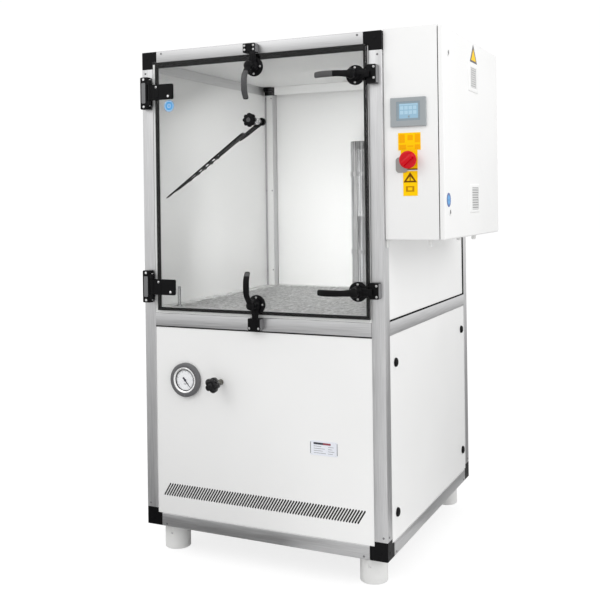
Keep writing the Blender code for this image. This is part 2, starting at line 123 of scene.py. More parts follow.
def vary_colour(material, value, colour, change):
    """The base colour drifts between a darker and a lighter tone of itself."""
    tree = material.node_tree
    mix = tree.nodes.new("ShaderNodeMix")
    mix.data_type = "RGBA"
    dark = [max(0.0, channel * (1 - change)) for channel in colour]
    light = [min(1.0, channel * (1 + change)) for channel in colour]
    mix.inputs[6].default_value = (*dark, 1.0)
    mix.inputs[7].default_value = (*light, 1.0)
    tree.links.new(value, mix.inputs[0])
    tree.links.new(mix.outputs[2], tree.nodes["Principled BSDF"].inputs["Base Color"])


def vary_gloss(material, value, roughness, swing):
    tree = material.node_tree
    rough = spread(tree, value, roughness - swing, roughness + swing)
    tree.links.new(rough, tree.nodes["Principled BSDF"].inputs["Roughness"])


def add_bump(material, value, strength, distance):
    tree = material.node_tree
    bump = tree.nodes.new("ShaderNodeBump")
    bump.inputs["Strength"].default_value = strength
    bump.inputs["Distance"].default_value = distance
    tree.links.new(value, bump.inputs["Height"])
    tree.links.new(bump.outputs["Normal"], tree.nodes["Principled BSDF"].inputs["Normal"])


def grained(name, colour, roughness, metallic=0.0, grain=900.0, stretch=(1, 1, 1), change=0.06, bump=0.12, shine=0.5):
    """A surface with a grain of its own in colour, gloss and relief, over slow patches of tone."""
    material = new_material(name, colour, roughness, metallic)
    material.node_tree.nodes["Principled BSDF"].inputs["Specular IOR Level"].default_value = shine
    tree = material.node_tree
    fine = add_noise(tree, grain, stretch)
    slow = add_noise(tree, PATCH_SCALE, detail=1.0)
    vary_colour(material, spread(tree, slow, 0.0, 1.0), colour, change)
    vary_gloss(material, fine, roughness, 0.06)
    add_bump(material, fine, bump, 0.0003)
    return material


def brushed(name, colour, roughness, way, grain=420.0, change=0.1, bump=0.1, along=0.02):
    """Metal with fine lines along one direction, in colour, gloss and relief."""
    stretch = [along if i == way else 1.0 for i in range(3)]
    material = new_material(name, colour, roughness, 1.0)
    tree = material.node_tree
    lines = add_noise(tree, grain, stretch, detail=4.0)
    vary_colour(material, spread(tree, lines, 0.0, 1.0), colour, change)
    vary_gloss(material, lines, roughness, 0.07)
    add_bump(material, lines, bump, 0.0002)
    return material


def clear_glass(name, tint, mirror=1.4):
    """Plain glass: see-through, with a mirror image on its near face only that grows towards grazing angles."""
    material = bpy.data.materials.new(name)
    material.use_nodes = True
    tree = material.node_tree
    tree.nodes.clear()
    output = tree.nodes.new("ShaderNodeOutputMaterial")
    mix = tree.nodes.new("ShaderNodeMixShader")
    through = tree.nodes.new("ShaderNodeBsdfTransparent")
    through.inputs["Color"].default_value = (*tint, 1.0)
    gloss = tree.nodes.new("ShaderNodeBsdfGlossy")
    gloss.inputs["Roughness"].default_value = 0.02
    fresnel = tree.nodes.new("ShaderNodeFresnel")
    fresnel.inputs["IOR"].default_value = mirror
    sides = tree.nodes.new("ShaderNodeNewGeometry")
    near = tree.nodes.new("ShaderNodeMath")
    near.operation = "SUBTRACT"
    near.use_clamp = True
    tree.links.new(fresnel.outputs["Fac"], near.inputs[0])
    tree.links.new(sides.outputs["Backfacing"], near.inputs[1])
    tree.links.new(near.outputs["Value"], mix.inputs["Fac"])
    tree.links.new(through.outputs["BSDF"], mix.inputs[1])
    tree.links.new(gloss.outputs["BSDF"], mix.inputs[2])
    tree.links.new(mix.outputs["Shader"], output.inputs["Surface"])
    return material


def glowing(name, colour, strength):
    """A lit display: its own light over a glossy face, in soft bands."""
    material = grained(name, colour, 0.15, grain=60.0, stretch=(0.4, 1, 2.5), change=0.05, bump=0.0)
    shader = material.node_tree.nodes["Principled BSDF"]
    shader.inputs["Emission Color"].default_value = (*colour, 1.0)
    shader.inputs["Emission Strength"].default_value = strength
    return material


LOOKS = {
    # One brushed aluminium in copies with the grain along each bar. Their tones differ as painted light and shade,
    # not as different metal: the bars along Y lightest, those along Z and X darker, and the top front rail darkest.
    "aluminium_x": brushed("aluminium_along_x", (0.57, 0.57, 0.575), 0.36, 0),
    "aluminium_top": brushed("aluminium_top_front", (0.44, 0.44, 0.443), 0.4, 0),
    "aluminium_y": brushed("aluminium_along_y", (0.65, 0.65, 0.655), 0.36, 1),
    "aluminium_z": brushed("aluminium_along_z", (0.61, 0.61, 0.615), 0.36, 2),
    "duct_steel": brushed("polished_duct", (0.6, 0.6, 0.61), 0.17, 2, grain=130.0, change=0.5, bump=0.05),
    "hopper_steel": brushed("hopper_sheet", (0.6, 0.6, 0.61), 0.3, 2),
    "floor_steel": brushed("expanded_steel", (0.93, 0.93, 0.92), 0.5, 1, grain=75.0, change=0.38, bump=0.0,
                           along=0.4),
    "dull_steel": grained("dull_screw_steel", (0.48, 0.48, 0.48), 0.34, 1.0, grain=1400.0, bump=0.05),
    "cover_grey": grained("column_cover_sheet", (0.66, 0.66, 0.655), 0.4, change=0.04),
    "column_corner_shade_grey": grained("column_corner_painted_shade", (0.34, 0.34, 0.345), 0.36, grain=1100.0, change=0.1),
    "keeper_side": grained("keeper_side_plate", (0.165, 0.165, 0.17), 0.36, grain=1100.0, change=0.1),
    "screw_steel": grained("screw_steel", (0.74, 0.74, 0.74), 0.24, 1.0, grain=1400.0, bump=0.05),
    "white_paint": grained("white_powder_coat", (0.86, 0.86, 0.855), 0.38, grain=700.0, change=0.012, bump=0.05),
    "liner_paint": grained("chamber_liner", (0.82, 0.82, 0.815), 0.45, grain=700.0, change=0.02, bump=0.05),
    "enclosure_paint": grained("textured_light_coat", (0.83, 0.83, 0.825), 0.45, grain=1100.0, change=0.012,
                               bump=0.16),
    "black_plastic": grained("black_moulding", (0.0035, 0.0035, 0.004), 0.38, grain=1300.0, change=0.25, bump=0.2,
                             shine=0.1),
    "gloss_black": grained("glossy_black_moulding", (0.003, 0.003, 0.0035), 0.2, change=0.2, bump=0.03,
                           shine=0.35),
    "grey_plastic": grained("dark_grey_moulding", (0.06, 0.06, 0.062), 0.32, grain=1300.0, change=0.18, bump=0.18,
                            shine=0.3),
    "rubber": grained("black_rubber", (0.003, 0.003, 0.003), 0.62, grain=800.0, change=0.25, bump=0.25, shine=0.05),
    "strip_grey": grained("cover_strip", (0.16, 0.16, 0.165), 0.32, change=0.1),
    "panel_grey": grained("display_frame", (0.31, 0.335, 0.35), 0.36, grain=1200.0, change=0.03, bump=0.1),
    "panel_edge": grained("display_recess", (0.235, 0.295, 0.335), 0.3, grain=1200.0, change=0.03),
    # The louvres' grey, darker than the cover they belong to, is painted shade.
    "louvre_shade_grey": grained("louvre_painted_shade", (0.66, 0.66, 0.655), 0.45, change=0.03),
    "brown": grained("brown_print", (0.17, 0.065, 0.0), 0.42, change=0.05, shine=0.1),
    "ochre": grained("ochre_print", (0.5, 0.23, 0.0), 0.42, change=0.08, shine=0.1),
    "screen": glowing("display_screen", (0.27, 0.44, 0.57), 0.05),
    "screen_tile": glowing("display_tile", (0.37, 0.55, 0.67), 0.06),
    "yellow": grained("yellow_plate", (0.98, 0.59, 0.0), 0.42, change=0.04, shine=0.08),
    "amber": grained("amber_print", (0.9, 0.4, 0.0), 0.44, shine=0.08),
    "red": grained("red_moulding", (0.6, 0.0, 0.008), 0.26, grain=1100.0, change=0.1, bump=0.06, shine=0.22),
    # One grey for the enclosure's switch gear modules, and for the painted shadow of the main switch's knob.
    "switch_grey": grained("knob_shadow_and_module_coat", (0.3, 0.29, 0.28), 0.4, grain=1100.0, change=0.08),
    "gauge_rim": grained("gauge_rim_metal", (0.9, 0.9, 0.9), 0.28, 0.6, grain=1200.0, bump=0.05),
    "gauge_grey": grained("gauge_bezel", (0.115, 0.115, 0.12), 0.34, grain=1000.0, change=0.1),
    "machine_grey": grained("machine_paint", (0.3, 0.32, 0.34), 0.45, grain=500.0, change=0.08),
    "dial_white": grained("dial_face", (0.93, 0.94, 0.96), 0.5, grain=600.0, change=0.01, bump=0.02),
    "brass": grained("valve_collar", (0.15, 0.145, 0.125), 0.3, 1.0, change=0.2),
    "foot_white": grained("white_foot", (0.8, 0.8, 0.79), 0.48, grain=600.0, change=0.02, bump=0.1),
    "sky_blue": grained("blue_disc", (0.045, 0.32, 0.68), 0.35, change=0.05),
    "navy": grained("navy_disc", (0.02, 0.07, 0.3), 0.35, change=0.05),
    "label_silver": grained("label_plate", (0.78, 0.8, 0.86), 0.3, change=0.04),
    "label_dark": grained("label_bar", (0.03, 0.03, 0.045), 0.35, change=0.1),
    "label_red": grained("label_bar_red", (0.28, 0.05, 0.07), 0.35, change=0.1),
    # Near-black painted shade for the cabinet's inside seen through the front slots.
    "dark_inside": grained("slot_interior_shade", (0.02, 0.02, 0.02), 0.8, grain=300.0, change=0.2),
    "door_glass": clear_glass("door_glass_clear", (0.962, 0.965, 0.963)),
    "lens_glass": clear_glass("gauge_lens", (0.995, 0.995, 0.995), 1.3),
}


# ---------------------------------------------------------------- mesh tools

# The slot that goes with each look. finish_piece looks it up when its own call names none, an empty one standing for
# none, but does not put it on the piece.
SLOTS = {
    "black_plastic": ("black_plastic", "gloss_black", "label_dark"),
    "black_rubber": ("rubber",),
    "clear_glass": ("door_glass", "lens_glass"),
    "dark_grey_plastic": ("strip_grey", "keeper_side", "grey_plastic", "brown", "ochre"),
    "enclosure_paint": ("enclosure_paint", "louvre_shade_grey", "yellow", "amber", "navy"),
    "floor_steel": ("floor_steel",),
    "gauge_grey": ("gauge_grey", "machine_grey"),
    "grey_panel": ("panel_grey", "panel_edge", "screen", "screen_tile"),
    "polished_steel": ("screw_steel", "duct_steel", "brass", "label_silver"),
    "red_plastic": ("red",),
    "satin_aluminium": ("aluminium_y", "cover_grey", "column_corner_shade_grey"),
    "white_panel": ("white_paint", "liner_paint"),
}
SLOT_OF = {look: slot for slot, looks in SLOTS.items() for look in looks}


def finish_piece(name, shape, look, body="cabinet", slot=None, replaces=(), bevel=0.0, angle=35, segments=2):
    """Turns a bmesh into a shaded piece that rides on a body."""
    bmesh.ops.recalc_face_normals(shape, faces=shape.faces)
    data = bpy.data.meshes.new(name)
    shape.to_mesh(data)
    shape.free()
    data.materials.append(LOOKS[look])
    data.shade_smooth()
    data.set_sharp_from_angle(angle=math.radians(angle))
    obj = bpy.data.objects.new(name, data)
    bpy.context.scene.collection.objects.link(obj)
    if bevel:
        rounding = obj.modifiers.new("rounded edges", "BEVEL")
        rounding.width = bevel
        rounding.segments = segments
        rounding.limit_method = "ANGLE"
        rounding.angle_limit = math.radians(40)
        rounding.harden_normals = True
    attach(obj, body)
    if slot is None:
        slot = SLOT_OF.get(look)
    if replaces:
        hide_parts(*replaces)
    return obj


def add_box(shape, low, high):
    """A box between two corners, counted from the frame's corner."""
    low = Vector(low)
    high = Vector(high)
    place = Matrix.Translation(CORNER + (low + high) / 2) @ Matrix.Diagonal((*(high - low), 1.0))
    bmesh.ops.create_cube(shape, size=1.0, matrix=place)


def side_vectors(axis):
    """Two directions square to an axis."""
    u = axis.orthogonal().normalized()
    if abs(axis.z) < 0.9:
        u = axis.cross(Z).normalized()
    return u, axis.cross(u).normalized()


def add_turned(shape, profile, centre, axis=FORWARD, steps=32):
    """A profile of (radius, distance along the axis) turned round it. A zero radius closes an end."""
    u, v = side_vectors(axis)
    centre = here(*centre)
    rings = []
    for radius, along in profile:
        middle = centre + axis * along
        if radius == 0:
            rings.append([shape.verts.new(middle)])
            continue
        ring = []
        for step in range(steps):
            angle = 2 * math.pi * step / steps
            ring.append(shape.verts.new(middle + (u * math.cos(angle) + v * math.sin(angle)) * radius))
        rings.append(ring)
    for first, second in zip(rings, rings[1:]):
        for step in range(steps):
            after = (step + 1) % steps
            corners = [first[step % len(first)], first[after % len(first)]]
            corners += [second[after % len(second)], second[step % len(second)]]
            shape.faces.new(list(dict.fromkeys(corners)))


def add_rod(shape, radius, start, end, centre, axis=FORWARD, steps=32):
    """A plain cylinder between two distances along its axis."""
    add_turned(shape, [(0, start), (radius, start), (radius, end), (0, end)], centre, axis, steps)


def disc_profile(radius, back, front, edge):
    """A flat round plate's profile with a rounded front edge."""
    corner = radius - edge
    points = [(0, back), (radius, back), (radius, front - edge)]
    points += [(corner + edge * math.cos(a), front - edge + edge * math.sin(a)) for a in (0.52, 1.05, 1.57)]
    return points + [(0, front)]


def join_rings(shape, rings, closed=False):
    """Faces from each ring of vertices to the next, and from the last to the first when closed."""
    for first, second in zip(rings, rings[1:] + (rings[:1] if closed else [])):
        count = len(first)
        for index in range(count):
            after = (index + 1) % count
            shape.faces.new([first[index], first[after], second[after], second[index]])


def add_ring(shape, profile, centre, axis=FORWARD, steps=48):
    """A closed section turned round an axis: a ring or a tube."""
    u, v = side_vectors(axis)
    centre = here(*centre)
    rings = []
    for radius, along in profile:
        ring = []
        for step in range(steps):
            angle = 2 * math.pi * step / steps
            way = u * math.cos(angle) + v * math.sin(angle)
            ring.append(shape.verts.new(centre + axis * along + way * radius))
        rings.append(ring)
    join_rings(shape, rings, True)


def add_tube(shape, inner, outer, start, end, centre, axis=FORWARD, steps=48):
    """A plain tube between two radii and two distances along its axis."""
    add_ring(shape, [(inner, start), (outer, start), (outer, end), (inner, end)], centre, axis, steps)


def add_prism(shape, outline, origin, u, v, depth):
    """An outline of (u, v) distances from an origin, pushed along the depth vector."""
    base = here(*origin)
    first = [shape.verts.new(base + u * a + v * b) for a, b in outline]
    second = [shape.verts.new(vert.co + depth) for vert in first]
    shape.faces.new(first)
    shape.faces.new(second)
    join_rings(shape, [first, second])


def rounded_rectangle(low_u, low_v, high_u, high_v, radius, steps=4):
    """The outline of a rectangle with round corners."""
    points = []
    corners = [(high_u - radius, high_v - radius, 0), (low_u + radius, high_v - radius, 1)]
    corners += [(low_u + radius, low_v + radius, 2), (high_u - radius, low_v + radius, 3)]
    for u, v, quarter in corners:
        for step in range(steps + 1):
            angle = (quarter + step / steps) * math.pi / 2
            points.append((u + radius * math.cos(angle), v + radius * math.sin(angle)))
    return points


def add_loft(shape, sections):
    """Rings of points joined one to the next, with both ends closed."""
    rings = [[shape.verts.new(point) for point in section] for section in sections]
    join_rings(shape, rings)
    shape.faces.new(rings[0])
    shape.faces.new(rings[-1])


def add_hoop(shape, sections):
    """Rings of points joined into a closed hoop."""
    join_rings(shape, [[shape.verts.new(point) for point in section] for section in sections], True)


def oval_section(middle, across, depth, half_across, half_depth, power=3.0, steps=16):
    """A ring of points like a rounded rectangle, square to the path it belongs to."""
    points = []
    for step in range(steps):
        angle = 2 * math.pi * (step + 0.5) / steps
        c = math.cos(angle)
        s = math.sin(angle)
        a = math.copysign(abs(c) ** (2 / power), c)
        b = math.copysign(abs(s) ** (2 / power), s)
        points.append(middle + across * half_across * a + depth * half_depth * b)
    return points


def add_screw(shape, centre, radius=0.0045, height=0.0024, axis=FORWARD):
    """A button-head screw with a hexagon socket sunk into its crown."""
    socket = radius * 0.42
    profile = [(0, -0.001), (radius, -0.001), (radius, height * 0.45), (radius * 0.86, height * 0.8)]
    profile += [(radius * 0.6, height), (socket, height), (socket * 0.96, height * 0.35), (0, height * 0.3)]
    add_turned(shape, profile, centre, axis, steps=18)


def screws(name, centres, body, radius=0.0045, height=0.0024, axis=FORWARD, look="screw_steel"):
    """One piece with a screw at each centre."""
    shape = bmesh.new()
    for centre in centres:
        add_screw(shape, centre, radius, height, axis)
    finish_piece(name, shape, look, body, slot="")


# ---------------------------------------------------------------- camera, light and floor

SKY_STRENGTH = 1.02
STUDIO = (-14.0, -14.0, 14.0, 14.0)
# Flags: the area in x and y, the height and the tone.
FLAGS = (
    (STUDIO, -0.012, 0.74),
    ((-2.8, -4.8, -0.35, -0.45), -0.009, 0.3),
    ((-0.7, -0.9, 0.55, -0.1), -0.006, 0.2),
    ((1.1, 0.7, 3.0, 7.0), -0.009, 0.28),
)
# Lamps: name, place, target, width and power. The ones in the chamber also have a spread in degrees.
LAMPS = (
    ("key", (-1.2, -3.2, 3.8), (0.5, 0.3, 1.2), 2.4, 33.0),
    ("side", (4.2, -0.8, 3.0), (1.0, 0.5, 1.4), 2.2, 40.0),
)
INSIDE_LAMPS = (
    ("ceiling", (0.5, 0.45, 1.76), (0.5, 0.8, 0.8), 0.6, 3.0, 180),
    ("front", (0.45, 0.09, 1.06), (0.42, 1.0, 1.04), 0.4, 2.5, 110),
)


def build_stage():
    """The camera, the sky, the floor with its flags, and the lamps."""
    data = bpy.data.cameras.new("camera")
    data.lens = CAMERA_LENS
    data.sensor_width = SENSOR_WIDTH
    data.shift_y = CAMERA_SHIFT
    camera = bpy.data.objects.new("camera", data)
    turn = Matrix.Rotation(CAMERA_YAW, 4, "Z") @ Matrix.Rotation(math.pi / 2, 4, "X")
    camera.matrix_world = Matrix.Translation(here(*CAMERA_PLACE)) @ turn @ Matrix.Rotation(CAMERA_ROLL, 4, "Z")
    bpy.context.scene.collection.objects.link(camera)
    bpy.context.scene.camera = camera
    bpy.context.scene.view_settings.view_transform = "Standard"
    world = bpy.data.worlds.new("studio")
    world.use_nodes = True
    background = world.node_tree.nodes["Background"]
    background.inputs["Color"].default_value = (1.0, 1.0, 1.0, 1.0)
    background.inputs["Strength"].default_value = SKY_STRENGTH
    bpy.context.scene.world = world
    floor = flat_sheet("studio_floor", STUDIO, -0.0005, 0.26, 0.8)
    for ray in ("diffuse", "glossy", "shadow"):
        setattr(floor, "visible_" + ray, False)
    for index, (area, height, tone) in enumerate(FLAGS):
        flag = flat_sheet(f"studio_flag_{index}", area, height, tone, 0.0)
        flag.visible_camera = False
    for lamp in LAMPS:
        add_lamp(*lamp)
    for *lamp, spread_angle in INSIDE_LAMPS:
        inside = add_lamp(*lamp)
        inside.data.spread = math.radians(spread_angle)
        inside.visible_camera = False
        inside.visible_glossy = False


def flat_sheet(name, area, height, tone, light):
    """A sheet lying level. The flags lie under the floor, which only the camera sees, and darken what faces down."""
    shape = bmesh.new()
    corners = ((area[0], area[1]), (area[2], area[1]), (area[2], area[3]), (area[0], area[3]))
    shape.faces.new([shape.verts.new((x + CORNER.x, y + CORNER.y, height)) for x, y in corners])
    mesh = bpy.data.meshes.new(name)
    shape.to_mesh(mesh)
    shape.free()
    paper = grained(name, (tone, tone, tone), 0.7, grain=40.0, change=0.004, bump=0.0, shine=0.0)
    glow = paper.node_tree.nodes["Principled BSDF"].inputs
    glow["Emission Color"].default_value = (1.0, 1.0, 1.0, 1.0)
    glow["Emission Strength"].default_value = light
    mesh.materials.append(paper)
    sheet = bpy.data.objects.new(name, mesh)
    bpy.context.scene.collection.objects.link(sheet)
    return sheet


def add_lamp(name, place, target, width, power):
    data = bpy.data.lights.new(name, "AREA")
    data.size = width
    data.energy = power
    lamp = bpy.data.objects.new(name, data)
    lamp.location = here(*place)
    lamp.rotation_euler = (here(*target) - here(*place)).to_track_quat("-Z", "Y").to_euler()
    bpy.context.scene.collection.objects.link(lamp)
    return lamp


# ---------------------------------------------------------------- frame, panels and feet

EDGE_ROUND = 0.0022
CEILING = 1.8215


def build_profile(node, way, low=None, high=None, name=None, replaces=True, look=None):
    """One extruded bar with round long edges."""
    if low is None:
        low, high = local_box(node)
    middle = (low + high) / 2
    along = (X, Y, Z)[way]
    u = (X, Y, Z)[(way + 1) % 3]
    v = (X, Y, Z)[(way + 2) % 3]
    half = PROFILE / 2
    outline = rounded_rectangle(-half, -half, half, half, EDGE_ROUND, 3)
    shape = bmesh.new()
    start = middle - along * (high - low)[way] / 2
    add_prism(shape, outline, start, u, v, along * (high - low)[way])
    look = look or "aluminium_" + "xyz"[way]
    piece_name = name or node + "_bar"
    finish_piece(piece_name, shape, look, slot="satin_aluminium", replaces=(node,) if replaces else ())


def build_frame():
    """The bars and corner pieces."""
    # The top front rail takes a darker copy of the aluminium: painted shade.
    for level, look in (("bottom", "aluminium_x"), ("top", "aluminium_top")):
        build_profile(f"{level}_rail_front", 0, look=look)
        build_rear_rail(level)
    for side, way in (("left", 1), ("right", -1)):
        build_profile(f"bottom_rail_{side}", 1)
        build_top_side_rail(f"top_rail_{side}", way)
    build_profile("mid_rail_front", 0)
    build_profile("mid_rail_right", 1)
    for place in ("front_left", "front_right", "rear_left", "rear_right"):
        build_profile(f"column_{place}", 2)
    for level, z in (("bottom", 0), ("top", 1)):
        for side, x in (("left", 0), ("right", 1)):
            build_connector(f"connector_{level}_{side}", (x, 0, z), (f"connector_{level}_{side}",))
    gap = 0.0003
    low = Vector((gap, PROFILE + gap, MID_LOW))
    high = Vector((PROFILE, SIZE.y - PROFILE - gap, MID_HIGH))
    build_profile("left_panel", 1, low, high, "mid_rail_left_bar", False)
    low = Vector((PROFILE + gap, SIZE.y - PROFILE, MID_LOW))
    high = Vector((SIZE.x - PROFILE - gap, SIZE.y - gap, MID_HIGH))
    build_profile("rear_panel", 0, low, high, "mid_rail_rear_bar", False)


def build_top_side_rail(node, way):
    """An angle bar: its outer faces are a bar's, and its inner side leaves room for the ceiling sheet."""
    low, high = local_box(node)
    outer = low.x if way > 0 else high.x
    web = 0.01
    e = EDGE_ROUND
    outline = [(e, 0), (web, 0), (web, CEILING + 0.002 - low.z), (PROFILE - 0.0006, CEILING + 0.002 - low.z),
               (PROFILE - 0.0006, PROFILE), (e, PROFILE),
               (e * 0.3, PROFILE - e * 0.3), (0, PROFILE - e), (0, e), (e * 0.3, e * 0.3)]
    shape = bmesh.new()
    add_prism(shape, outline, (outer, low.y, low.z), X * way, Z, Y * (high.y - low.y))
    finish_piece(node + "_bar", shape, "aluminium_y", replaces=(node,))


def build_rear_rail(level):
    """The bar between two corner pieces that the CAD holds as one solid with them."""
    z = 0 if level == "bottom" else 1
    base = z * (SIZE.z - PROFILE)
    start = Vector((CONNECTOR, SIZE.y - PROFILE, base))
    end = Vector((SIZE.x - CONNECTOR, SIZE.y, base + PROFILE))
    build_profile(f"{level}_rail_rear", 0, start, end)
    for side, x in (("left", 0), ("right", 1)):
        build_connector(f"connector_rear_{level}_{side}", (x, 1, z), ())


def build_connector(name, corner, replaces):
    """A three-way corner piece: a cube with a collar towards each bar, and its outer edges rounded."""
    low = Vector([0.0 if side == 0 else limit - PROFILE for side, limit in zip(corner, SIZE)])
    high = low + Vector((PROFILE, PROFILE, PROFILE))
    shape = bmesh.new()
    add_box(shape, low, high)
    for axis in range(3):
        push = Vector([(1 if corner[i] == 0 else -1) if i == axis else 0 for i in range(3)])
        shape.normal_update()
        face = max(shape.faces, key=lambda f: (round(f.normal.dot(push), 3), f.calc_area()))
        grown = bmesh.ops.extrude_discrete_faces(shape, faces=[face])["faces"]
        bmesh.ops.translate(shape, verts=grown[0].verts, vec=push * (CONNECTOR - PROFILE))
    finish_piece(name, shape, "black_plastic", replaces=replaces, bevel=0.0026, segments=3)
    cover = bmesh.new()
    middle = (low + high) / 2
    for axis, way in ((1, -1 if corner[1] == 0 else 1), (0, -1 if corner[0] == 0 else 1)):
        normal = (X, Y, Z)[axis] * way
        centre = middle + normal * PROFILE / 2
        add_turned(cover, disc_profile(0.0062, -0.0008, 0.0006, 0.0005), centre, normal, 24)
    finish_piece(name + "_plugs", cover, "black_plastic")


def frame_screws():
    """A small screw on each front bar just past its connector, and the same down the sides."""
    across = (0.09, 0.01)
    upright = (0.0156, 0.0835)
    centres = []
    for x, inward in ((0.0, 1), (SIZE.x, -1)):
        for z, up in ((0.0, 1), (SIZE.z, -1)):
            for reach, height in (across, upright):
                centres.append((x + inward * reach, 0.0, z + up * height))
    screws("frame_screws_front", centres, "cabinet", 0.004, 0.0016, look="strip_grey")
    sides = {"left": (0.0, -1), "right": (SIZE.x, 1)}
    for side, (x, way) in sides.items():
        centres = []
        for y, inward in ((0.0, 1), (SIZE.y, -1)):
            for z, up in ((0.0, 1), (SIZE.z, -1)):
                for reach, height in (across, upright):
                    centres.append((x, y + inward * reach, z + up * height))
        screws(f"frame_screws_{side}", centres, "cabinet", 0.004, 0.0016, X * way, "strip_grey")


def build_panels():
    """The sheet panels, the lining and the round fasteners of the two lower side panels."""
    build_front_panel()
    for node in ("right_lower_panel", "left_panel", "rear_panel", "roof_panel", "right_upper_panel"):
        shape = bmesh.new()
        add_box(shape, *local_box(node))
        finish_piece(node + "_sheet", shape, "white_paint", replaces=(node,), bevel=0.0008)
    build_liner()
    right = local_box("right_lower_panel")[1].x
    for side, x, way in (("right", right, 1), ("left", local_box("left_panel")[0].x, -1)):
        shape = bmesh.new()
        slot = bmesh.new()
        for y in (0.109, 0.984):
            for z in (0.144, 0.679):
                centre = (x, y, z)
                profile = [(0, 0.0), (0.0165, 0.0), (0.0162, 0.0035), (0.0145, 0.0062), (0.011, 0.0078), (0, 0.0086)]
                add_turned(shape, profile, centre, X * way)
                bar = Vector((0.0006, 0.0018, 0.0085))
                middle = Vector(centre) + X * way * 0.0084
                add_box(slot, middle - bar, middle + bar)
        finish_piece(f"panel_locks_{side}", shape, "black_plastic")
        finish_piece(f"panel_lock_slots_{side}", slot, "gloss_black")
    build_rear_details()
    build_gap_shade()


def build_gap_shade():
    """Black rubber strips where the panels meet the rails and the rear column: painted shade of the gaps there."""
    front = local_box("front_lower_panel")
    right = local_box("right_upper_panel")
    shape = bmesh.new()
    add_box(shape, (front[0].x, -0.0003, front[1].z - 0.0034), (front[1].x, 0.0019, front[1].z))
    side = right[1].x
    add_box(shape, (side + 0.0001, right[0].y, right[0].z), (side + 0.0018, right[1].y, right[0].z + 0.006))
    add_box(shape, (side + 0.0001, right[1].y - 0.018, right[0].z + 0.006), (side + 0.0018, right[1].y, right[1].z))
    finish_piece("panel_gap_shade", shape, "rubber", bevel=0.0004)


def build_liner():
    """The chamber's own sheet lining: back, left, right and ceiling, behind the frame's inner faces."""
    thick = 0.0015
    left = local_box("left_panel")[1].x
    right = local_box("right_upper_panel")[0].x
    back = local_box("rear_panel")[0].y
    top = local_box("top_rail_left")[0].z - 0.0005
    inner = PROFILE + 0.0006
    low_z = MID_HIGH + 0.002
    sheets = {
        "liner_back": ((inner, back - thick - 0.0005, low_z), (SIZE.x - inner, back - 0.0005, top)),
        "liner_left": ((left + 0.0005, inner, low_z), (left + 0.0005 + thick, SIZE.y - inner, top)),
        "liner_right": ((right - thick - 0.0005, inner, low_z), (right - 0.0005, SIZE.y - inner, top)),
        "liner_ceiling": ((0.0106, inner, CEILING), (SIZE.x - 0.0106, SIZE.y - inner, CEILING + thick)),
    }
    for name, (low, high) in sheets.items():
        shape = bmesh.new()
        add_box(shape, low, high)
        finish_piece(name, shape, "liner_paint", bevel=0.0004)


def build_front_panel():
    """The lower front sheet with its row of leaning round-ended slots, cut as one mesh, and a near-black sheet of
    painted shade behind the slots.
    """
    low, high = local_box("front_lower_panel")
    count = 74
    first, last = 0.093, 0.902
    base, top = 0.119, 0.1705
    lean = 0.0275
    half = 0.0031
    way = Vector((lean, top - base)).normalized()
    side = Vector((way.y, -way.x))
    step = (last - first) / (count - 1)
    shape = bmesh.new()
    cutter = bmesh.new()
    add_box(shape, low, high)
    for number in range(count):
        middle = first + number * step
        ends = [Vector((middle - lean / 2, base + half)), Vector((middle + lean / 2, top - half))]
        outline = []
        for end, sign in ((1, 1), (0, -1)):
            for turn in range(6):
                angle = turn * math.pi / 5
                offset = side * math.cos(angle) * sign + way * math.sin(angle) * sign
                point = ends[end] + offset * half
                outline.append((point.x, point.y))
        add_prism(cutter, outline, (0, low.y - 0.004, 0), X, Z, Y * 0.012)
    bmesh.ops.recalc_face_normals(cutter, faces=cutter.faces)
    tool_mesh = bpy.data.meshes.new("slot_cutter")
    cutter.to_mesh(tool_mesh)
    cutter.free()
    tool = bpy.data.objects.new("slot_cutter", tool_mesh)
    bpy.context.scene.collection.objects.link(tool)
    panel = finish_piece("front_lower_sheet", shape, "white_paint", replaces=("front_lower_panel",))
    cut = panel.modifiers.new("slots", "BOOLEAN")
    cut.object = tool
    cut.solver = "EXACT"
    graph = bpy.context.evaluated_depsgraph_get()
    panel.data = bpy.data.meshes.new_from_object(panel.evaluated_get(graph))
    panel.modifiers.clear()
    bpy.data.objects.remove(tool)
    # A near-black sheet behind the slots: painted shade of the cabinet's inside.
    slot_shade_sheet = bmesh.new()
    add_box(slot_shade_sheet, (first - 0.03, high.y + 0.004, base - 0.02), (last + 0.03, high.y + 0.01, top + 0.02))
    finish_piece("slot_shade_backing", slot_shade_sheet, "dark_inside", bevel=0.001)


def build_rear_details():
    """Screws round the back sheet, and a louvred service vent."""
    low, high = local_box("rear_panel")
    back = high.y
    centres = []
    for z in (low.z + 0.02, (low.z + high.z) / 2 - 0.06, high.z - 0.02):
        for x in (low.x + 0.02, (low.x + high.x) / 2, high.x - 0.02):
            centres.append((x, back, z))
    screws("rear_screws", centres, "cabinet", 0.005, 0.002, Y)
    shape = bmesh.new()
    for row in range(9):
        z = 0.52 + row * 0.02
        outline = [(0.0, 0.0), (0.0016, 0.004), (0.0016, 0.011), (0.0, 0.013)]
        add_prism(shape, outline, (0.36, back, z), Y, Z, X * 0.28)
    finish_piece("rear_louvres", shape, "white_paint", bevel=0.0004)


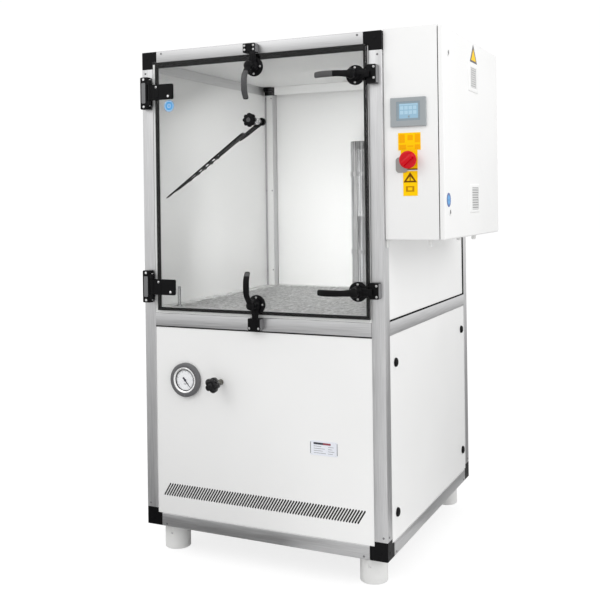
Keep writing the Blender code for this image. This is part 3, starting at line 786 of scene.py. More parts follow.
def build_feet():
    """Four turned feet with a groove and a set screw."""
    for place in ("front_left", "front_right", "rear_left", "rear_right"):
        low, high = local_box(f"foot_{place}")
        middle = (low + high) / 2
        radius = (high.x - low.x) / 2
        height = high.z - low.z
        profile = [(0, 0), (radius - 0.004, 0), (radius - 0.0012, 0.0012), (radius, 0.004), (radius, height - 0.016)]
        profile += [(radius - 0.0016, height - 0.0145), (radius - 0.0016, height - 0.0125), (radius, height - 0.011)]
        profile += [(radius, height - 0.001), (radius - 0.001, height), (0, height)]
        shape = bmesh.new()
        add_turned(shape, profile, (middle.x, middle.y, low.z), Z, 64)
        finish_piece(f"foot_{place}_body", shape, "foot_white", slot="foot_white", replaces=(f"foot_{place}",))
        front = (middle.x + 0.004, middle.y - radius, low.z + height * 0.62)
        screws(f"foot_{place}_screw", [front], "cabinet", 0.0042, 0.0016)


# ---------------------------------------------------------------- door

SEAL_SECTION = 0.012


def rectangle_ring(shape, sections):
    """A ring round an upright rectangle. A section is (x low, x high, z low, z high, y)."""
    loops = []
    for x_low, x_high, z_low, z_high, y in sections:
        corners = [(x_low, z_low), (x_high, z_low), (x_high, z_high), (x_low, z_high)]
        loops.append([here(x, y, z) for x, z in corners])
    add_hoop(shape, loops)


def build_seal():
    """The black rubber with its hollow-bulb front, and the light sheet lip that it sits on."""
    low, high = local_box("door_seal")
    lip = (low.x, high.x, low.z, high.z)
    seal = (0.066, 0.947, 0.842, 1.795)
    front = low.y
    back = high.y
    lip_front = back - 0.003
    shape = bmesh.new()
    opening = [seal[i] + (SEAL_SECTION + 0.001) * (1 if i % 2 == 0 else -1) for i in range(4)]
    sections = [(*lip, back), (*lip, lip_front), (*opening, lip_front), (*opening, back)]
    rectangle_ring(shape, sections)
    finish_piece("door_lip", shape, "liner_paint", bevel=0.0006)
    rubber = bmesh.new()
    bulge = [(0.0, lip_front - 0.0004), (0.0, front + 0.004), (0.0015, front + 0.0012), (0.004, front)]
    bulge += [(0.008, front), (0.0105, front + 0.0012), (SEAL_SECTION, front + 0.004),
              (SEAL_SECTION, lip_front - 0.0004)]
    sections = []
    # The extra height of the top run is painted shade under the top rail.
    shaded_top_stretch = 1.85  # The top run of the rubber is this much higher than the other three.
    for inset, y in bulge:
        top = seal[3] + SEAL_SECTION * (shaded_top_stretch - 1) - inset * shaded_top_stretch
        sections.append((seal[0] + inset, seal[1] - inset, seal[2] + inset, top, y))
    rectangle_ring(rubber, sections)
    finish_piece("door_seal_rubber", rubber, "rubber", replaces=("door_seal",))


def build_glass():
    """A pane with ground edges and a bored hole for the wiper's shaft."""
    low, high = local_box("door_glass")
    shaft = Vector((WIPER[0], WIPER[1]))
    radius = 0.0065
    shape = bmesh.new()
    edge = 0.0012
    outer = rounded_rectangle(low.x, low.z, high.x, high.z, 0.004, 3)
    inner = rounded_rectangle(low.x + edge, low.z + edge, high.x - edge, high.z - edge, 0.004, 3)
    rings = [(inner, low.y), (outer, low.y + edge), (outer, high.y - edge), (inner, high.y)]
    count = len(outer)
    loops = [[shape.verts.new(here(x, y, z)) for x, z in ring] for ring, y in rings]
    join_rings(shape, loops)
    holes = []
    for y in (low.y, high.y):
        points = []
        for step in range(count):
            angle = 2 * math.pi * (step + 0.5) / count
            points.append(shape.verts.new(here(shaft.x + radius * math.cos(angle), y,
                                               shaft.y + radius * math.sin(angle))))
        holes.append(points)
    for pair in ((loops[0], holes[0]), (loops[-1], holes[1]), holes):
        join_rings(shape, list(pair))
    finish_piece("door_pane", shape, "door_glass", "door", replaces=("door_glass",))


def build_hinge(level):
    """The column half is a rounded bar with two knuckles. The glass half is a screwed clamp plate."""
    low, high = local_box(f"hinge_frame_{level}")
    leaf_low, leaf_high = local_box(f"hinge_leaf_{level}")
    middle = (low.z + high.z) / 2
    bar_right = 0.045
    pin = (0.055, -0.028)
    radius = high.x - pin[0]
    shape = bmesh.new()
    front = -0.03
    outline = rounded_rectangle(low.x, front, bar_right, -0.0004, 0.009, 5)
    add_prism(shape, outline, (0, 0, low.z), X, Y, Z * (high.z - low.z))
    finish_piece(f"hinge_bar_{level}", shape, "black_plastic", replaces=(f"hinge_frame_{level}",), bevel=0.004,
                 segments=3)
    strip = bmesh.new()
    outline = rounded_rectangle(0.017, middle - 0.04, 0.035, middle + 0.04, 0.004)
    add_prism(strip, outline, (0, front - 0.0012, 0), X, Z, Y * 0.003)
    finish_piece(f"hinge_strip_{level}", strip, "strip_grey", bevel=0.0008)
    centres = [(0.026, front + 0.0006, middle + side * 0.053) for side in (-1, 1)]
    screws(f"hinge_bar_screws_{level}", centres, "cabinet", 0.005, 0.0026)
    lugs = bmesh.new()
    half = (leaf_high.z - leaf_low.z) / 2
    for side in (-1, 1):
        start = middle + side * (half + 0.001)
        length = 0.019
        profile = [(0, 0), (radius, 0), (radius, length - 0.002), (radius - 0.002, length), (0, length)]
        add_turned(lugs, profile, (pin[0], pin[1], start), Z * side, 24)
        z = sorted((start, start + side * length))
        add_box(lugs, (0.04, pin[1] - 0.004, z[0] + 0.001), (pin[0], pin[1] + 0.004, z[1] - 0.001))
    finish_piece(f"hinge_lugs_{level}", lugs, "black_plastic")
    ends = bmesh.new()
    for side in (-1, 1):
        z = middle + side * (half + 0.02)
        add_turned(ends, [(0, -0.001), (0.0035, -0.001), (0.0035, 0.0012), (0.0025, 0.002), (0, 0.002)],
                   (pin[0], pin[1], z), Z * side, 16)
    finish_piece(f"hinge_pin_ends_{level}", ends, "screw_steel")
    plate = bmesh.new()
    left = 0.064
    outline = rounded_rectangle(left, leaf_low.z, leaf_high.x, leaf_high.z, 0.006)
    plate_back = -0.0228
    plate_front = plate_back - 0.0094
    add_prism(plate, outline, (0, plate_front, 0), X, Z, Y * (plate_back - plate_front))
    outline = rounded_rectangle(left + 0.01, leaf_low.z + 0.008, left + 0.034, leaf_high.z - 0.008, 0.004)
    add_prism(plate, outline, (0, plate_front - 0.0018, 0), X, Z, Y * 0.004)
    finish_piece(f"hinge_plate_{level}", plate, "black_plastic", "door", replaces=(f"hinge_leaf_{level}",),
                 bevel=0.0022, segments=3)
    knuckle = bmesh.new()
    tall = 2 * half
    profile = [(0, 0), (radius - 0.001, 0), (radius, 0.001), (radius, tall - 0.001), (radius - 0.001, tall),
               (0, tall)]
    add_turned(knuckle, profile, (pin[0], pin[1], middle - half), Z, 24)
    add_box(knuckle, (pin[0], pin[1] - 0.0037, middle - half + 0.001),
            (left + 0.006, pin[1] + 0.0037, middle + half - 0.001))
    finish_piece(f"hinge_knuckle_{level}", knuckle, "black_plastic", "door")
    centres = [(0.086, plate_front + 0.0004, middle + 0.019), (0.14, plate_front + 0.0004, middle - 0.018)]
    screws(f"hinge_plate_screws_{level}", centres, "door", 0.005, 0.0026)


# Each latch: the way its lever points and the way to its keeper, as (x, z).
LATCHES = {
    "top": ((0, -1), (0, 1)),
    "bottom": ((0, 1), (0, -1)),
    "lower_right": ((-1, 0), (1, 0)),
    "upper_right": ((-1, 0), (1, 0)),
}


def along_door(way):
    """A way given as (x, z) as a vector."""
    return Vector((way[0], 0, way[1]))


def build_latch(name):
    """The disc on the glass with its four screws, and the handle on it."""
    base_low, base_high = local_box(f"latch_base_{name}")
    centre = (base_low + base_high) / 2
    x, z = centre.x, centre.z
    radius = (base_high.x - base_low.x) / 2
    back = base_high.y
    face = base_low.y
    lever_way, keeper_way = (along_door(way) for way in LATCHES[name])
    disc = bmesh.new()
    profile = [(0, 0), (radius, 0), (radius, 0.0045), (radius - 0.0008, 0.0064), (radius - 0.003, 0.0078)]
    profile += [(radius - 0.012, 0.008), (0, 0.008)]
    add_turned(disc, profile, (x, back, z), FORWARD, 56)
    finish_piece(f"latch_disc_{name}", disc, "black_plastic", "door", replaces=(f"latch_base_{name}",))
    centres = []
    for way in (X, -X, Z, -Z):
        place = Vector((x, face + 0.0005, z)) + way * 0.0255
        centres.append(tuple(place))
    screws(f"latch_disc_screws_{name}", centres, "door", 0.004, 0.0022, look="dull_steel")
    build_handle(name, (x, z), face - 0.0004, lever_way, keeper_way)


# The station where each lever's sleeve starts, and its look. The four levers are one part; the paler grey sleeves on
# three of them are painted highlight.
GRIPS = {
    "top": (2, "grey_plastic"),
    "upper_right": (4, "grey_plastic"),
    "bottom": (7, "grey_plastic"),
    "lower_right": (4, "black_plastic"),
}


def build_handle(name, centre, back, lever_way, keeper_way):
    """The hub, the bent lever with its sleeve and cap, and the tongue over the keeper."""
    body = f"latch_{name}"
    x, z = centre
    hub = bmesh.new()
    profile = [(0, 0), (0.0208, 0), (0.0208, 0.01), (0.0195, 0.0125), (0.015, 0.019), (0.0142, 0.028), (0.015, 0.034),
               (0, 0.034)]
    add_turned(hub, profile, (x, back, z), FORWARD, 40)
    boss_back = back - 0.033
    profile = [(0, 0), (0.0165, 0), (0.0172, 0.004), (0.017, 0.01), (0.0158, 0.0145), (0.0125, 0.018), (0.007, 0.02),
               (0, 0.0205)]
    add_turned(hub, profile, (x, boss_back, z), FORWARD, 40)
    finish_piece(f"latch_hub_{name}", hub, "black_plastic", body, "dark_grey_plastic", (f"latch_handle_{name}",))
    side = lever_way.cross(Y).normalized()
    # Reach along the door, depth in front of it, half width, half thickness.
    stations = [(0.002, -0.074, 0.013, 0.0085), (0.013, -0.079, 0.012, 0.0076), (0.026, -0.0925, 0.0106, 0.0066),
                (0.038, -0.102, 0.0106, 0.0062), (0.052, -0.1052, 0.011, 0.0062), (0.075, -0.1058, 0.0112, 0.0062),
                (0.094, -0.1046, 0.0112, 0.006), (0.108, -0.1, 0.011, 0.0056), (0.121, -0.0935, 0.0104, 0.0052),
                (0.1245, -0.0915, 0.008, 0.0036)]
    rings = []
    for index, (reach, depth, half_width, half_thick) in enumerate(stations):
        before = stations[max(0, index - 1)]
        after = stations[min(len(stations) - 1, index + 1)]
        tangent = (lever_way * (after[0] - before[0]) + Y * (after[1] - before[1])).normalized()
        normal = tangent.cross(side).normalized()
        middle = here(x, 0, z) + lever_way * reach + Y * depth
        rings.append(oval_section(middle, side, normal, half_width, half_thick, 3.2, 20))
    split, look = GRIPS[name]
    parts = (("neck", "black_plastic", rings[:split + 1], 0.0), ("grip", look, rings[split:9], 0.0),
             ("cap", "black_plastic", rings[8:], 0.0012))
    for part, part_look, part_rings, bevel in parts:
        shape = bmesh.new()
        add_loft(shape, part_rings)
        finish_piece(f"latch_{part}_{name}", shape, part_look, body, "dark_grey_plastic", bevel=bevel)
    tongue = bmesh.new()
    sections = []
    for reach, half_width, depth, half_thick in ((0.01, 0.015, -0.038, 0.0042), (0.03, 0.014, -0.0385, 0.0042),
                                                 (0.044, 0.0125, -0.0392, 0.004), (0.0535, 0.0115, -0.0392, 0.0036),
                                                 (0.056, 0.0095, -0.0385, 0.0024)):
        middle = here(x, 0, z) + keeper_way * reach + Y * depth
        sections.append(oval_section(middle, side, Y, half_width, half_thick, 4.0, 20))
    add_loft(tongue, sections)
    sections = []
    for reach, half_width in ((0.012, 0.003), (0.04, 0.0026)):
        middle = here(x, 0, z) + keeper_way * reach + Y * -0.0432
        sections.append(oval_section(middle, side, Y, half_width, 0.0018, 2.0, 12))
    add_loft(tongue, sections)
    finish_piece(f"latch_tongue_{name}", tongue, "black_plastic", body, "dark_grey_plastic")


KEEPER_SCREWS = {
    "top": ((0.4756, 1.8337), (0.5125, 1.8337), (0.4756, 1.819), (0.5125, 1.819)),
    "bottom": ((0.4804, 0.7932), (0.5185, 0.7932)),
    "lower_right": ((0.9808, 0.9627), (0.9808, 0.9248)),
    "upper_right": ((0.9808, 1.7203), (0.9808, 1.6821)),
}


def build_keeper(name):
    """A moulded block with a stepped face, a ramp for the tongue, its screws and a grey side plate."""
    low, high = local_box(f"keeper_{name}")
    keeper_way = along_door(LATCHES[name][1])
    front = low.y
    plate = 0.0012
    right = high.x - plate
    shape = bmesh.new()
    outline = rounded_rectangle(low.x, low.z, right, high.z, 0.0035)
    add_prism(shape, outline, (0, front + 0.0022, 0), X, Z, Y * (high.y - front - 0.0022))
    for x, z in KEEPER_SCREWS[name]:
        add_turned(shape, [(0, -front - 0.004), (0.0074, -front - 0.004), (0.007, -front - 0.0002),
                           (0, -front - 0.0002)], (x, 0, z), FORWARD, 24)
    middle = (low + high) / 2
    wide = Vector((abs(keeper_way.z), 0, abs(keeper_way.x)))
    deep = Vector((abs(keeper_way.x), 0, abs(keeper_way.z)))
    reach = (high - low).dot(deep) / 2 - 0.004
    pad = wide * 0.01 + deep * reach
    ramp = Vector((middle.x, 0, middle.z))
    add_box(shape, (ramp - pad) + Y * (front + 0.0004), (ramp + pad) + Y * (front + 0.003))
    finish_piece(f"keeper_block_{name}", shape, "black_plastic", replaces=(f"keeper_{name}",), bevel=0.001)
    side = bmesh.new()
    add_box(side, (right + 0.0001, front + 0.003, low.z + 0.0025), (high.x, high.y, high.z - 0.0025))
    finish_piece(f"keeper_side_{name}", side, "keeper_side", bevel=0.0004)
    centres = [(x, front + 0.0002, z) for x, z in KEEPER_SCREWS[name]]
    screws(f"keeper_screws_{name}", centres, "cabinet", 0.0044, 0.002, look="dull_steel")


# ---------------------------------------------------------------- wiper

WIPER = (0.51, 1.557)
WIPER_SLOPE = math.radians(35.1)
WIPER_REACH = 0.485


def lobed_ring(middle, radius, dip, lobes, steps):
    """A circle in the door's plane with round lobes and a dip between each two."""
    points = []
    for step in range(lobes * steps):
        angle = 2 * math.pi * step / (lobes * steps)
        reach = radius - dip * (1 - abs(math.cos(lobes * angle / 2))) ** 1.3
        points.append(middle + X * reach * math.cos(angle) + Z * reach * math.sin(angle))
    return points


def add_star(shape, middle, sections, lobes, steps=10):
    """A lobed knob lofted from sections of (distance forward, radius, dip)."""
    rings = [lobed_ring(middle + FORWARD * ahead, radius, dip, lobes, steps) for ahead, radius, dip in sections]
    add_loft(shape, rings)


def build_wiper():
    """The star knob and its shaft through the pane."""
    x, z = WIPER
    front = -local_box("wiper_knob")[0].y
    back = front - 0.022
    sections = [(back, 0.016, 0.0), (back + 0.002, 0.0225, 0.003), (back + 0.005, 0.0252, 0.0052),
                (front - 0.006, 0.026, 0.0058), (front - 0.0025, 0.0248, 0.0052), (front - 0.0006, 0.0215, 0.0035),
                (front, 0.015, 0.001)]
    shape = bmesh.new()
    add_star(shape, here(x, 0, z), sections, 8)
    finish_piece("wiper_star_knob", shape, "black_plastic", "wiper", replaces=("wiper_knob",), angle=50)
    metal = bmesh.new()
    add_rod(metal, 0.006, -0.031, back + 0.001, (x, 0, z), FORWARD, 28)
    nut_front = -local_box("door_glass")[0].y
    for start, radius, thick in ((nut_front + 0.0003, 0.013, 0.0016), (nut_front + 0.002, 0.0105, 0.006),
                                 (0.0102 - 0.012, 0.013, 0.0016)):
        add_rod(metal, radius, start, start + thick, (x, 0, z), FORWARD, 28)
    finish_piece("wiper_shaft", metal, "screw_steel", "wiper")
    cap = bmesh.new()
    add_turned(cap, [(0, front - 0.0005), (0.0085, front - 0.0005), (0.008, front + 0.0006), (0, front + 0.0009)],
               (x, 0, z), FORWARD, 28)
    finish_piece("wiper_knob_cap", cap, "grey_plastic", "wiper", "black_plastic")
    build_wiper_arm(x, z)


def build_wiper_arm(x, z):
    """The arm from the shaft, the rail and bow, the blade and its clips."""
    along = Vector((-math.cos(WIPER_SLOPE), 0, -math.sin(WIPER_SLOPE)))
    across = along.cross(Y).normalized()
    centre = here(x, 0, z)

    def bar(shape, stations, power=4.0):
        """Stations are (reach, half width, y of the middle, half depth)."""
        rings = [oval_section(centre + along * reach + Y * y, across, Y, half, deep, power)
                 for reach, half, y, deep in stations]
        add_loft(shape, rings)

    arm = bmesh.new()
    add_turned(arm, [(0, -0.0445), (0.0125, -0.0445), (0.0145, -0.0425), (0.015, -0.0305), (0, -0.0305)], (x, 0, z))
    bar(arm, [(0.004, 0.0105, 0.0365, 0.0048), (0.03, 0.0088, 0.0365, 0.0046), (0.08, 0.008, 0.033, 0.0044),
              (0.112, 0.0062, 0.029, 0.0042)])
    finish_piece("wiper_arm_body", arm, "black_plastic", "wiper", replaces=("wiper_arm",))
    rail = bmesh.new()
    start = 0.074
    bar(rail, [(start, 0.0026, -0.0035, 0.0016), (WIPER_REACH - 0.016, 0.0026, -0.0035, 0.0015),
               (WIPER_REACH - 0.004, 0.0018, -0.004, 0.0012)])
    bow = [(0.078, 0.02, 0.006, 0.0044), (0.19, 0.019, 0.007, 0.004), (0.215, 0.0215, 0.0045, 0.003),
           (0.235, 0.023, 0.0022, 0.0021),
           (0.3, 0.02, 0.0022, 0.0021), (0.345, 0.015, 0.0025, 0.0024), (0.38, 0.0095, 0.0035, 0.003),
           (0.418, 0.0035, 0.0045, 0.0034), (0.44, 0.0, 0.003, 0.003)]
    bar(rail, [(reach, wide, y, half) for reach, y, half, wide in bow])
    bar(rail, [(start, 0.004, 0.005, 0.009), (0.15, 0.004, 0.005, 0.009), (0.205, 0.003, 0.001, 0.005)])
    finish_piece("wiper_bow_and_rail", rail, "black_plastic", "wiper")
    blade = bmesh.new()
    bar(blade, [(start + 0.003, 0.0026, -0.007, 0.0034), (WIPER_REACH - 0.01, 0.0026, -0.0068, 0.0034),
                (WIPER_REACH, 0.0016, -0.0075, 0.0026)], 3.0)
    bar(blade, [(start + 0.003, 0.0007, -0.0105, 0.0013), (WIPER_REACH, 0.0006, -0.0105, 0.0013)], 4.0)
    finish_piece("wiper_blade", blade, "rubber", "wiper", "black_plastic")
    clips = bmesh.new()
    pins = bmesh.new()
    for reach, top in ((0.12, 0.0265), (0.222, 0.026), (0.256, 0.025), (0.29, 0.0235), (0.325, 0.02), (0.365, 0.015)):
        middle = (top - 0.0045) / 2
        half = (top + 0.0045) / 2
        bar(clips, [(reach - 0.006, 0.0046, middle, half - 0.001), (reach - 0.004, 0.0054, middle, half),
                    (reach + 0.004, 0.0054, middle, half), (reach + 0.006, 0.0046, middle, half - 0.001)])
        place = centre - CORNER + along * reach + Y * (top - 0.005)
        add_rod(pins, 0.0022, -0.0068, 0.0068, tuple(place), across, 12)
    finish_piece("wiper_clips", clips, "black_plastic", "wiper")
    finish_piece("wiper_clip_pins", pins, "screw_steel", "wiper")


# ---------------------------------------------------------------- chamber


def build_chamber_floor():
    """Expanded steel: rows of flat zigzag strands bonded where they touch, in an angle border."""
    low, high = local_box("chamber_floor")
    top = high.z
    left = local_box("left_panel")[1].x + 0.003
    right = local_box("right_upper_panel")[0].x - 0.003
    back = local_box("rear_panel")[0].y - 0.003
    strand = 0.0058
    swing = 0.0084
    pitch_x = 0.04
    thick = 0.0022
    spacing = strand + swing
    shape = bmesh.new()
    rows = int((high.y - low.y) / spacing)
    columns = int((high.x - low.x) / pitch_x)
    for row in range(rows):
        middle = low.y + spacing * (row + 0.5)
        points = []
        for column in range(columns + 1):
            x = low.x + column * pitch_x
            side = 1 if (column + row) % 2 == 0 else -1
            for shift in (-0.19, 0.19):
                points.append((min(max(x + shift * pitch_x, low.x), high.x), middle + side * swing / 2))
        add_strand(shape, points, strand, top - thick, top)
    finish_piece("expanded_floor", shape, "floor_steel", replaces=("chamber_floor",), angle=60)
    border = bmesh.new()
    inner = PROFILE + 0.001
    bar = 0.003
    pieces = [((left, inner, top - 0.01), (low.x + 0.01, high.y, top + bar)),
              ((high.x - 0.01, inner, top - 0.01), (right, high.y, top + bar))]
    pieces += [((inner, low.y - 0.001, top - 0.01), (high.x, low.y + 0.012, top + bar)),
               ((inner, high.y - 0.012, top - 0.01), (SIZE.x - inner, back, top + bar))]
    for one_low, one_high in pieces:
        add_box(border, one_low, one_high)
    finish_piece("floor_border", border, "floor_steel", bevel=0.0008)
    ribs = bmesh.new()
    for index in range(1, 4):
        x = low.x + (high.x - low.x) * index / 4
        add_box(ribs, (x - 0.002, low.y + 0.012, top - 0.03), (x + 0.002, high.y - 0.012, top - thick - 0.0003))
    finish_piece("floor_ribs", ribs, "floor_steel")


SAME_PLACE = 1e-7


def add_strand(shape, points, width, bottom, top):
    """A flat zigzag ribbon through (x, y) points."""
    half = width / 2
    corners = ((-half, bottom), (half, bottom), (half, top), (-half, top))
    rows = [[shape.verts.new(here(x, y + side, z)) for side, z in corners] for x, y in points]
    for pair in zip(rows, rows[1:]):
        if (pair[0][0].co - pair[1][0].co).length > SAME_PLACE:
            join_rings(shape, list(pair))
    shape.faces.new(rows[0])
    shape.faces.new(rows[-1])


def build_duct():
    """The polished riser with rolled bands, a folded seam and two wall straps."""
    low, high = local_box("air_duct")
    centre = ((low.x + high.x) / 2, (low.y + high.y) / 2, 0)
    radius = (high.x - low.x) / 2
    wall = 0.0015
    outline = [(radius - 0.001, low.z)]
    for band in (0.06, 0.5, 0.94):
        z = low.z + (high.z - low.z) * band
        outline += [(radius - 0.001, z - 0.006), (radius, z - 0.003), (radius, z + 0.003),
                    (radius - 0.001, z + 0.006)]
    outline += [(radius - 0.001, high.z - 0.001), (radius - wall, high.z), (radius - wall - 0.001, high.z - 0.001),
                (radius - wall - 0.001, low.z)]
    shape = bmesh.new()
    add_ring(shape, [(r, z) for r, z in outline], centre, Z, 72)
    finish_piece("riser_tube", shape, "duct_steel", replaces=("air_duct",))
    flange = bmesh.new()
    add_tube(flange, radius, radius + 0.016, low.z, low.z + 0.003, centre, Z, 72)
    finish_piece("riser_flange", flange, "duct_steel")
    straps = bmesh.new()
    back = local_box("rear_panel")[0].y - 0.003
    for z in (1.02, 1.38):
        add_tube(straps, radius + 0.0004, radius + 0.002, z - 0.01, z + 0.01, centre, Z, 72)
        add_box(straps, (centre[0] - 0.012, centre[1] + radius, z - 0.01), (centre[0] + 0.012, back, z + 0.01))
    finish_piece("riser_straps", straps, "duct_steel")
    seam = bmesh.new()
    way = Vector((0.35, -0.94, 0)).normalized()
    place = Vector(centre) + way * (radius - 0.0012)
    add_box(seam, (place.x - 0.001, place.y - 0.001, low.z + 0.002),
            (place.x + 0.001, place.y + 0.001, high.z - 0.002))
    finish_piece("riser_seam", seam, "duct_steel")


def build_stub_tube():
    """The short open tube standing on the floor near the door, on its own small collar."""
    place = (0.075, 0.131, local_box("chamber_floor")[1].z)
    shape = bmesh.new()
    height = 0.079
    add_ring(shape, [(0.0065, 0.0), (0.0065, height), (0.006, height + 0.0006), (0.005, height + 0.0006),
                     (0.0048, height), (0.0048, 0.0)], place, Z, 32)
    add_ring(shape, [(0.0066, 0.0005), (0.011, 0.0005), (0.011, 0.006), (0.0066, 0.008)], place, Z, 32)
    finish_piece("sampling_tube", shape, "duct_steel")


def build_inner_fins():
    """The strips under the ceiling's edges, and the covers, dark corner strips and screws of the rear columns; the
    dark corner strips are painted shade.
    """
    low_z = 1.7805
    back = SIZE.y - PROFILE
    strip = bmesh.new()
    add_box(strip, (0.062, back - 0.0016, low_z), (SIZE.x - 0.062, back - 0.0002, CEILING - 0.0002))
    finish_piece("ceiling_fin_rear", strip, "liner_paint", bevel=0.0004)
    sides = bmesh.new()
    for x in (0.0102, SIZE.x - 0.0118):
        add_box(sides, (x, CONNECTOR, low_z), (x + 0.0016, SIZE.y - CONNECTOR - 0.0002, CEILING - 0.0002))
    finish_piece("ceiling_fin_sides", sides, "aluminium_y", bevel=0.0004)
    covers = bmesh.new()
    for x in (0.018, SIZE.x - 0.0495):
        add_box(covers, (x, back - 0.0009, MID_HIGH + 0.012), (x + 0.0315, back - 0.0001, low_z))
    finish_piece("column_covers", covers, "cover_grey", bevel=0.0003)
    # Dark strips down the rear columns' outer edges, in the corners by the side walls: painted shade.
    edge_shade_strips = bmesh.new()
    for x in (0.0074, SIZE.x - 0.0174):
        add_box(edge_shade_strips, (x, back - 0.0005, MID_HIGH + 0.012), (x + 0.01, back + 0.0004, low_z))
    finish_piece("column_corner_shade", edge_shade_strips, "column_corner_shade_grey")
    centres = [(x, back - 0.0009, z) for z in (1.311, 0.92, 1.766) for x in (0.013, 0.043)]
    centres += [(SIZE.x - x, y, z) for x, y, z in centres]
    screws("column_screws", centres, "cabinet", 0.0034, 0.0016, look="strip_grey")


BLADES = 28


def build_machinery():
    """The hopper with a folded rim, and the blower's bladed wheel, behind the lower panels."""
    low, high = local_box("dust_hopper")
    wall = 0.002
    hopper = bmesh.new()
    narrow = 0.29
    levels = [(0.0, high.z, 0.0), (0.0, high.z - 0.012, 0.0), (narrow, low.z, 0.0), (narrow, low.z, wall),
              (0.004, high.z - 0.012, wall), (0.004, high.z, wall)]
    loops = []
    for inset, z, thick in levels:
        a = inset + thick
        corners = [(low.x + a, low.y + a), (high.x - a, low.y + a), (high.x - a, high.y - a), (low.x + a, high.y - a)]
        loops.append([here(x, y, z) for x, y in corners])
    add_hoop(hopper, loops)
    finish_piece("hopper_sheet", hopper, "hopper_steel", slot="polished_steel", replaces=("dust_hopper",))
    wheel_low, wheel_high = local_box("blower_wheel")
    middle = (wheel_low + wheel_high) / 2
    radius = (wheel_high.x - wheel_low.x) / 2
    centre = (middle.x, 0, middle.z)
    back = -wheel_high.y
    wheel = bmesh.new()
    add_rod(wheel, radius, back, back + 0.003, centre, FORWARD, 64)
    add_turned(wheel, [(0, back + 0.002), (0.022, back + 0.002), (0.02, back + 0.05), (0, back + 0.052)], centre)
    rim = -wheel_low.y
    add_tube(wheel, radius - 0.01, radius, rim - 0.003, rim, centre, FORWARD, 64)
    for blade in range(BLADES):
        angle = 2 * math.pi * blade / BLADES
        out = Vector((math.cos(angle), 0, math.sin(angle)))
        lean = Vector((math.cos(angle + 0.9), 0, math.sin(angle + 0.9)))
        start = Vector(centre) + out * (radius - 0.004)
        inward = lean * -0.022
        side = lean.cross(Y).normalized() * 0.0008
        corners = [start + side, start - side, start + inward - side, start + inward + side]
        outline = [(corner.x, corner.z) for corner in corners]
        add_prism(wheel, outline, (0, wheel_low.y + 0.001, 0), X, Z, Y * (wheel_high.y - wheel_low.y - 0.002))
    finish_piece("blower_impeller", wheel, "machine_grey", "fan", replaces=("blower_wheel",))


# ---------------------------------------------------------------- gauge, valve and label


DIAL_START = -50
DIAL_SWEEP = 270


def build_gauge():
    """The bezel, rim, dial with its scale, lens and screws."""
    low, high = local_box("pressure_gauge")
    middle = (low + high) / 2
    radius = (high.x - low.x) / 2
    x, z = middle.x, middle.z
    front = -low.y
    face = 0.0096
    inner = 0.0415
    shape = bmesh.new()
    profile = [(radius, -0.0005), (radius, front - 0.0045), (radius - 0.0008, front - 0.0025),
               (radius - 0.003, front - 0.0012),
               (inner + 0.0084, front - 0.0006), (inner + 0.0073, front - 0.0012), (inner + 0.0073, -0.0005)]
    add_ring(shape, profile, (x, 0, z), FORWARD, 72)
    finish_piece("gauge_bezel", shape, "gauge_grey", replaces=("pressure_gauge",), angle=50)
    rim = ((0.0072, 0.009), (0.0072, front - 0.0004), (0.0058, front + 0.0004), (0.003, front - 0.0004),
           (0.0002, front - 0.0026), (0.0002, 0.009))
    shade = ((0.0001, 0.005), (0.0001, front - 0.0026), (-0.0024, front - 0.0032), (-0.0024, 0.005))
    for part, look, slot, section in (("rim", "gauge_rim", "polished_steel", rim),
                                      ("shade", "black_plastic", "black_plastic", shade)):
        ring = bmesh.new()
        add_ring(ring, [(inner + out, along) for out, along in section], (x, 0, z), FORWARD, 72)
        finish_piece(f"gauge_{part}", ring, look, slot=slot)
    dial = bmesh.new()
    add_rod(dial, inner + 0.006, -0.001, face, (x, 0, z), FORWARD, 72)
    finish_piece("gauge_dial", dial, "dial_white", slot="gauge_grey")
    ticks = bmesh.new()
    for index in range(51):
        angle = math.radians(DIAL_START + DIAL_SWEEP * index / 50)
        way = Vector((-math.cos(angle + math.pi), 0, math.sin(angle)))
        side = Vector((-way.z, 0, way.x))
        length = 0.0065 if index % 10 == 0 else (0.0048 if index % 5 == 0 else 0.003)
        half = 0.00055 if index % 5 == 0 else 0.00028
        outer = inner - 0.0045
        corners = [way * outer + side * half, way * outer - side * half, way * (outer - length) - side * half,
                   way * (outer - length) + side * half]
        add_prism(ticks, [(c.x, c.z) for c in corners], (x, -face - 0.0001, z), X, Z, Y * 0.0004)
    arc = []
    for radius_now, steps in ((inner - 0.004, range(61)), (inner - 0.0044, range(60, -1, -1))):
        for step in steps:
            angle = math.radians(DIAL_START + DIAL_SWEEP * step / 60)
            arc.append((radius_now * math.cos(angle), radius_now * math.sin(angle)))
    add_prism(ticks, arc, (x, -face - 0.0001, z), X, Z, Y * 0.0004)
    for dz, half in ((-0.013, 0.008), (-0.0165, 0.0055)):
        add_box(ticks, (x - half, -face - 0.0002, z + dz - 0.0005), (x + half, -face + 0.0004, z + dz + 0.0005))
    finish_piece("gauge_scale", ticks, "label_dark")
    lens = bmesh.new()
    add_turned(lens, [(0, front - 0.0044), (inner - 0.0026, front - 0.0044), (inner - 0.0026, front - 0.0034),
                      (0, front - 0.003)], (x, 0, z), FORWARD, 72)
    finish_piece("gauge_lens", lens, "lens_glass")
    centres = []
    for turn in (30, 150, 270):
        angle = math.radians(turn)
        centres.append((x + 0.0575 * math.cos(angle), 0.0009 - front, z + 0.0575 * math.sin(angle)))
    screws("gauge_screws", centres, "cabinet", 0.003, 0.0014, look="strip_grey")
    build_pointer(x, z)


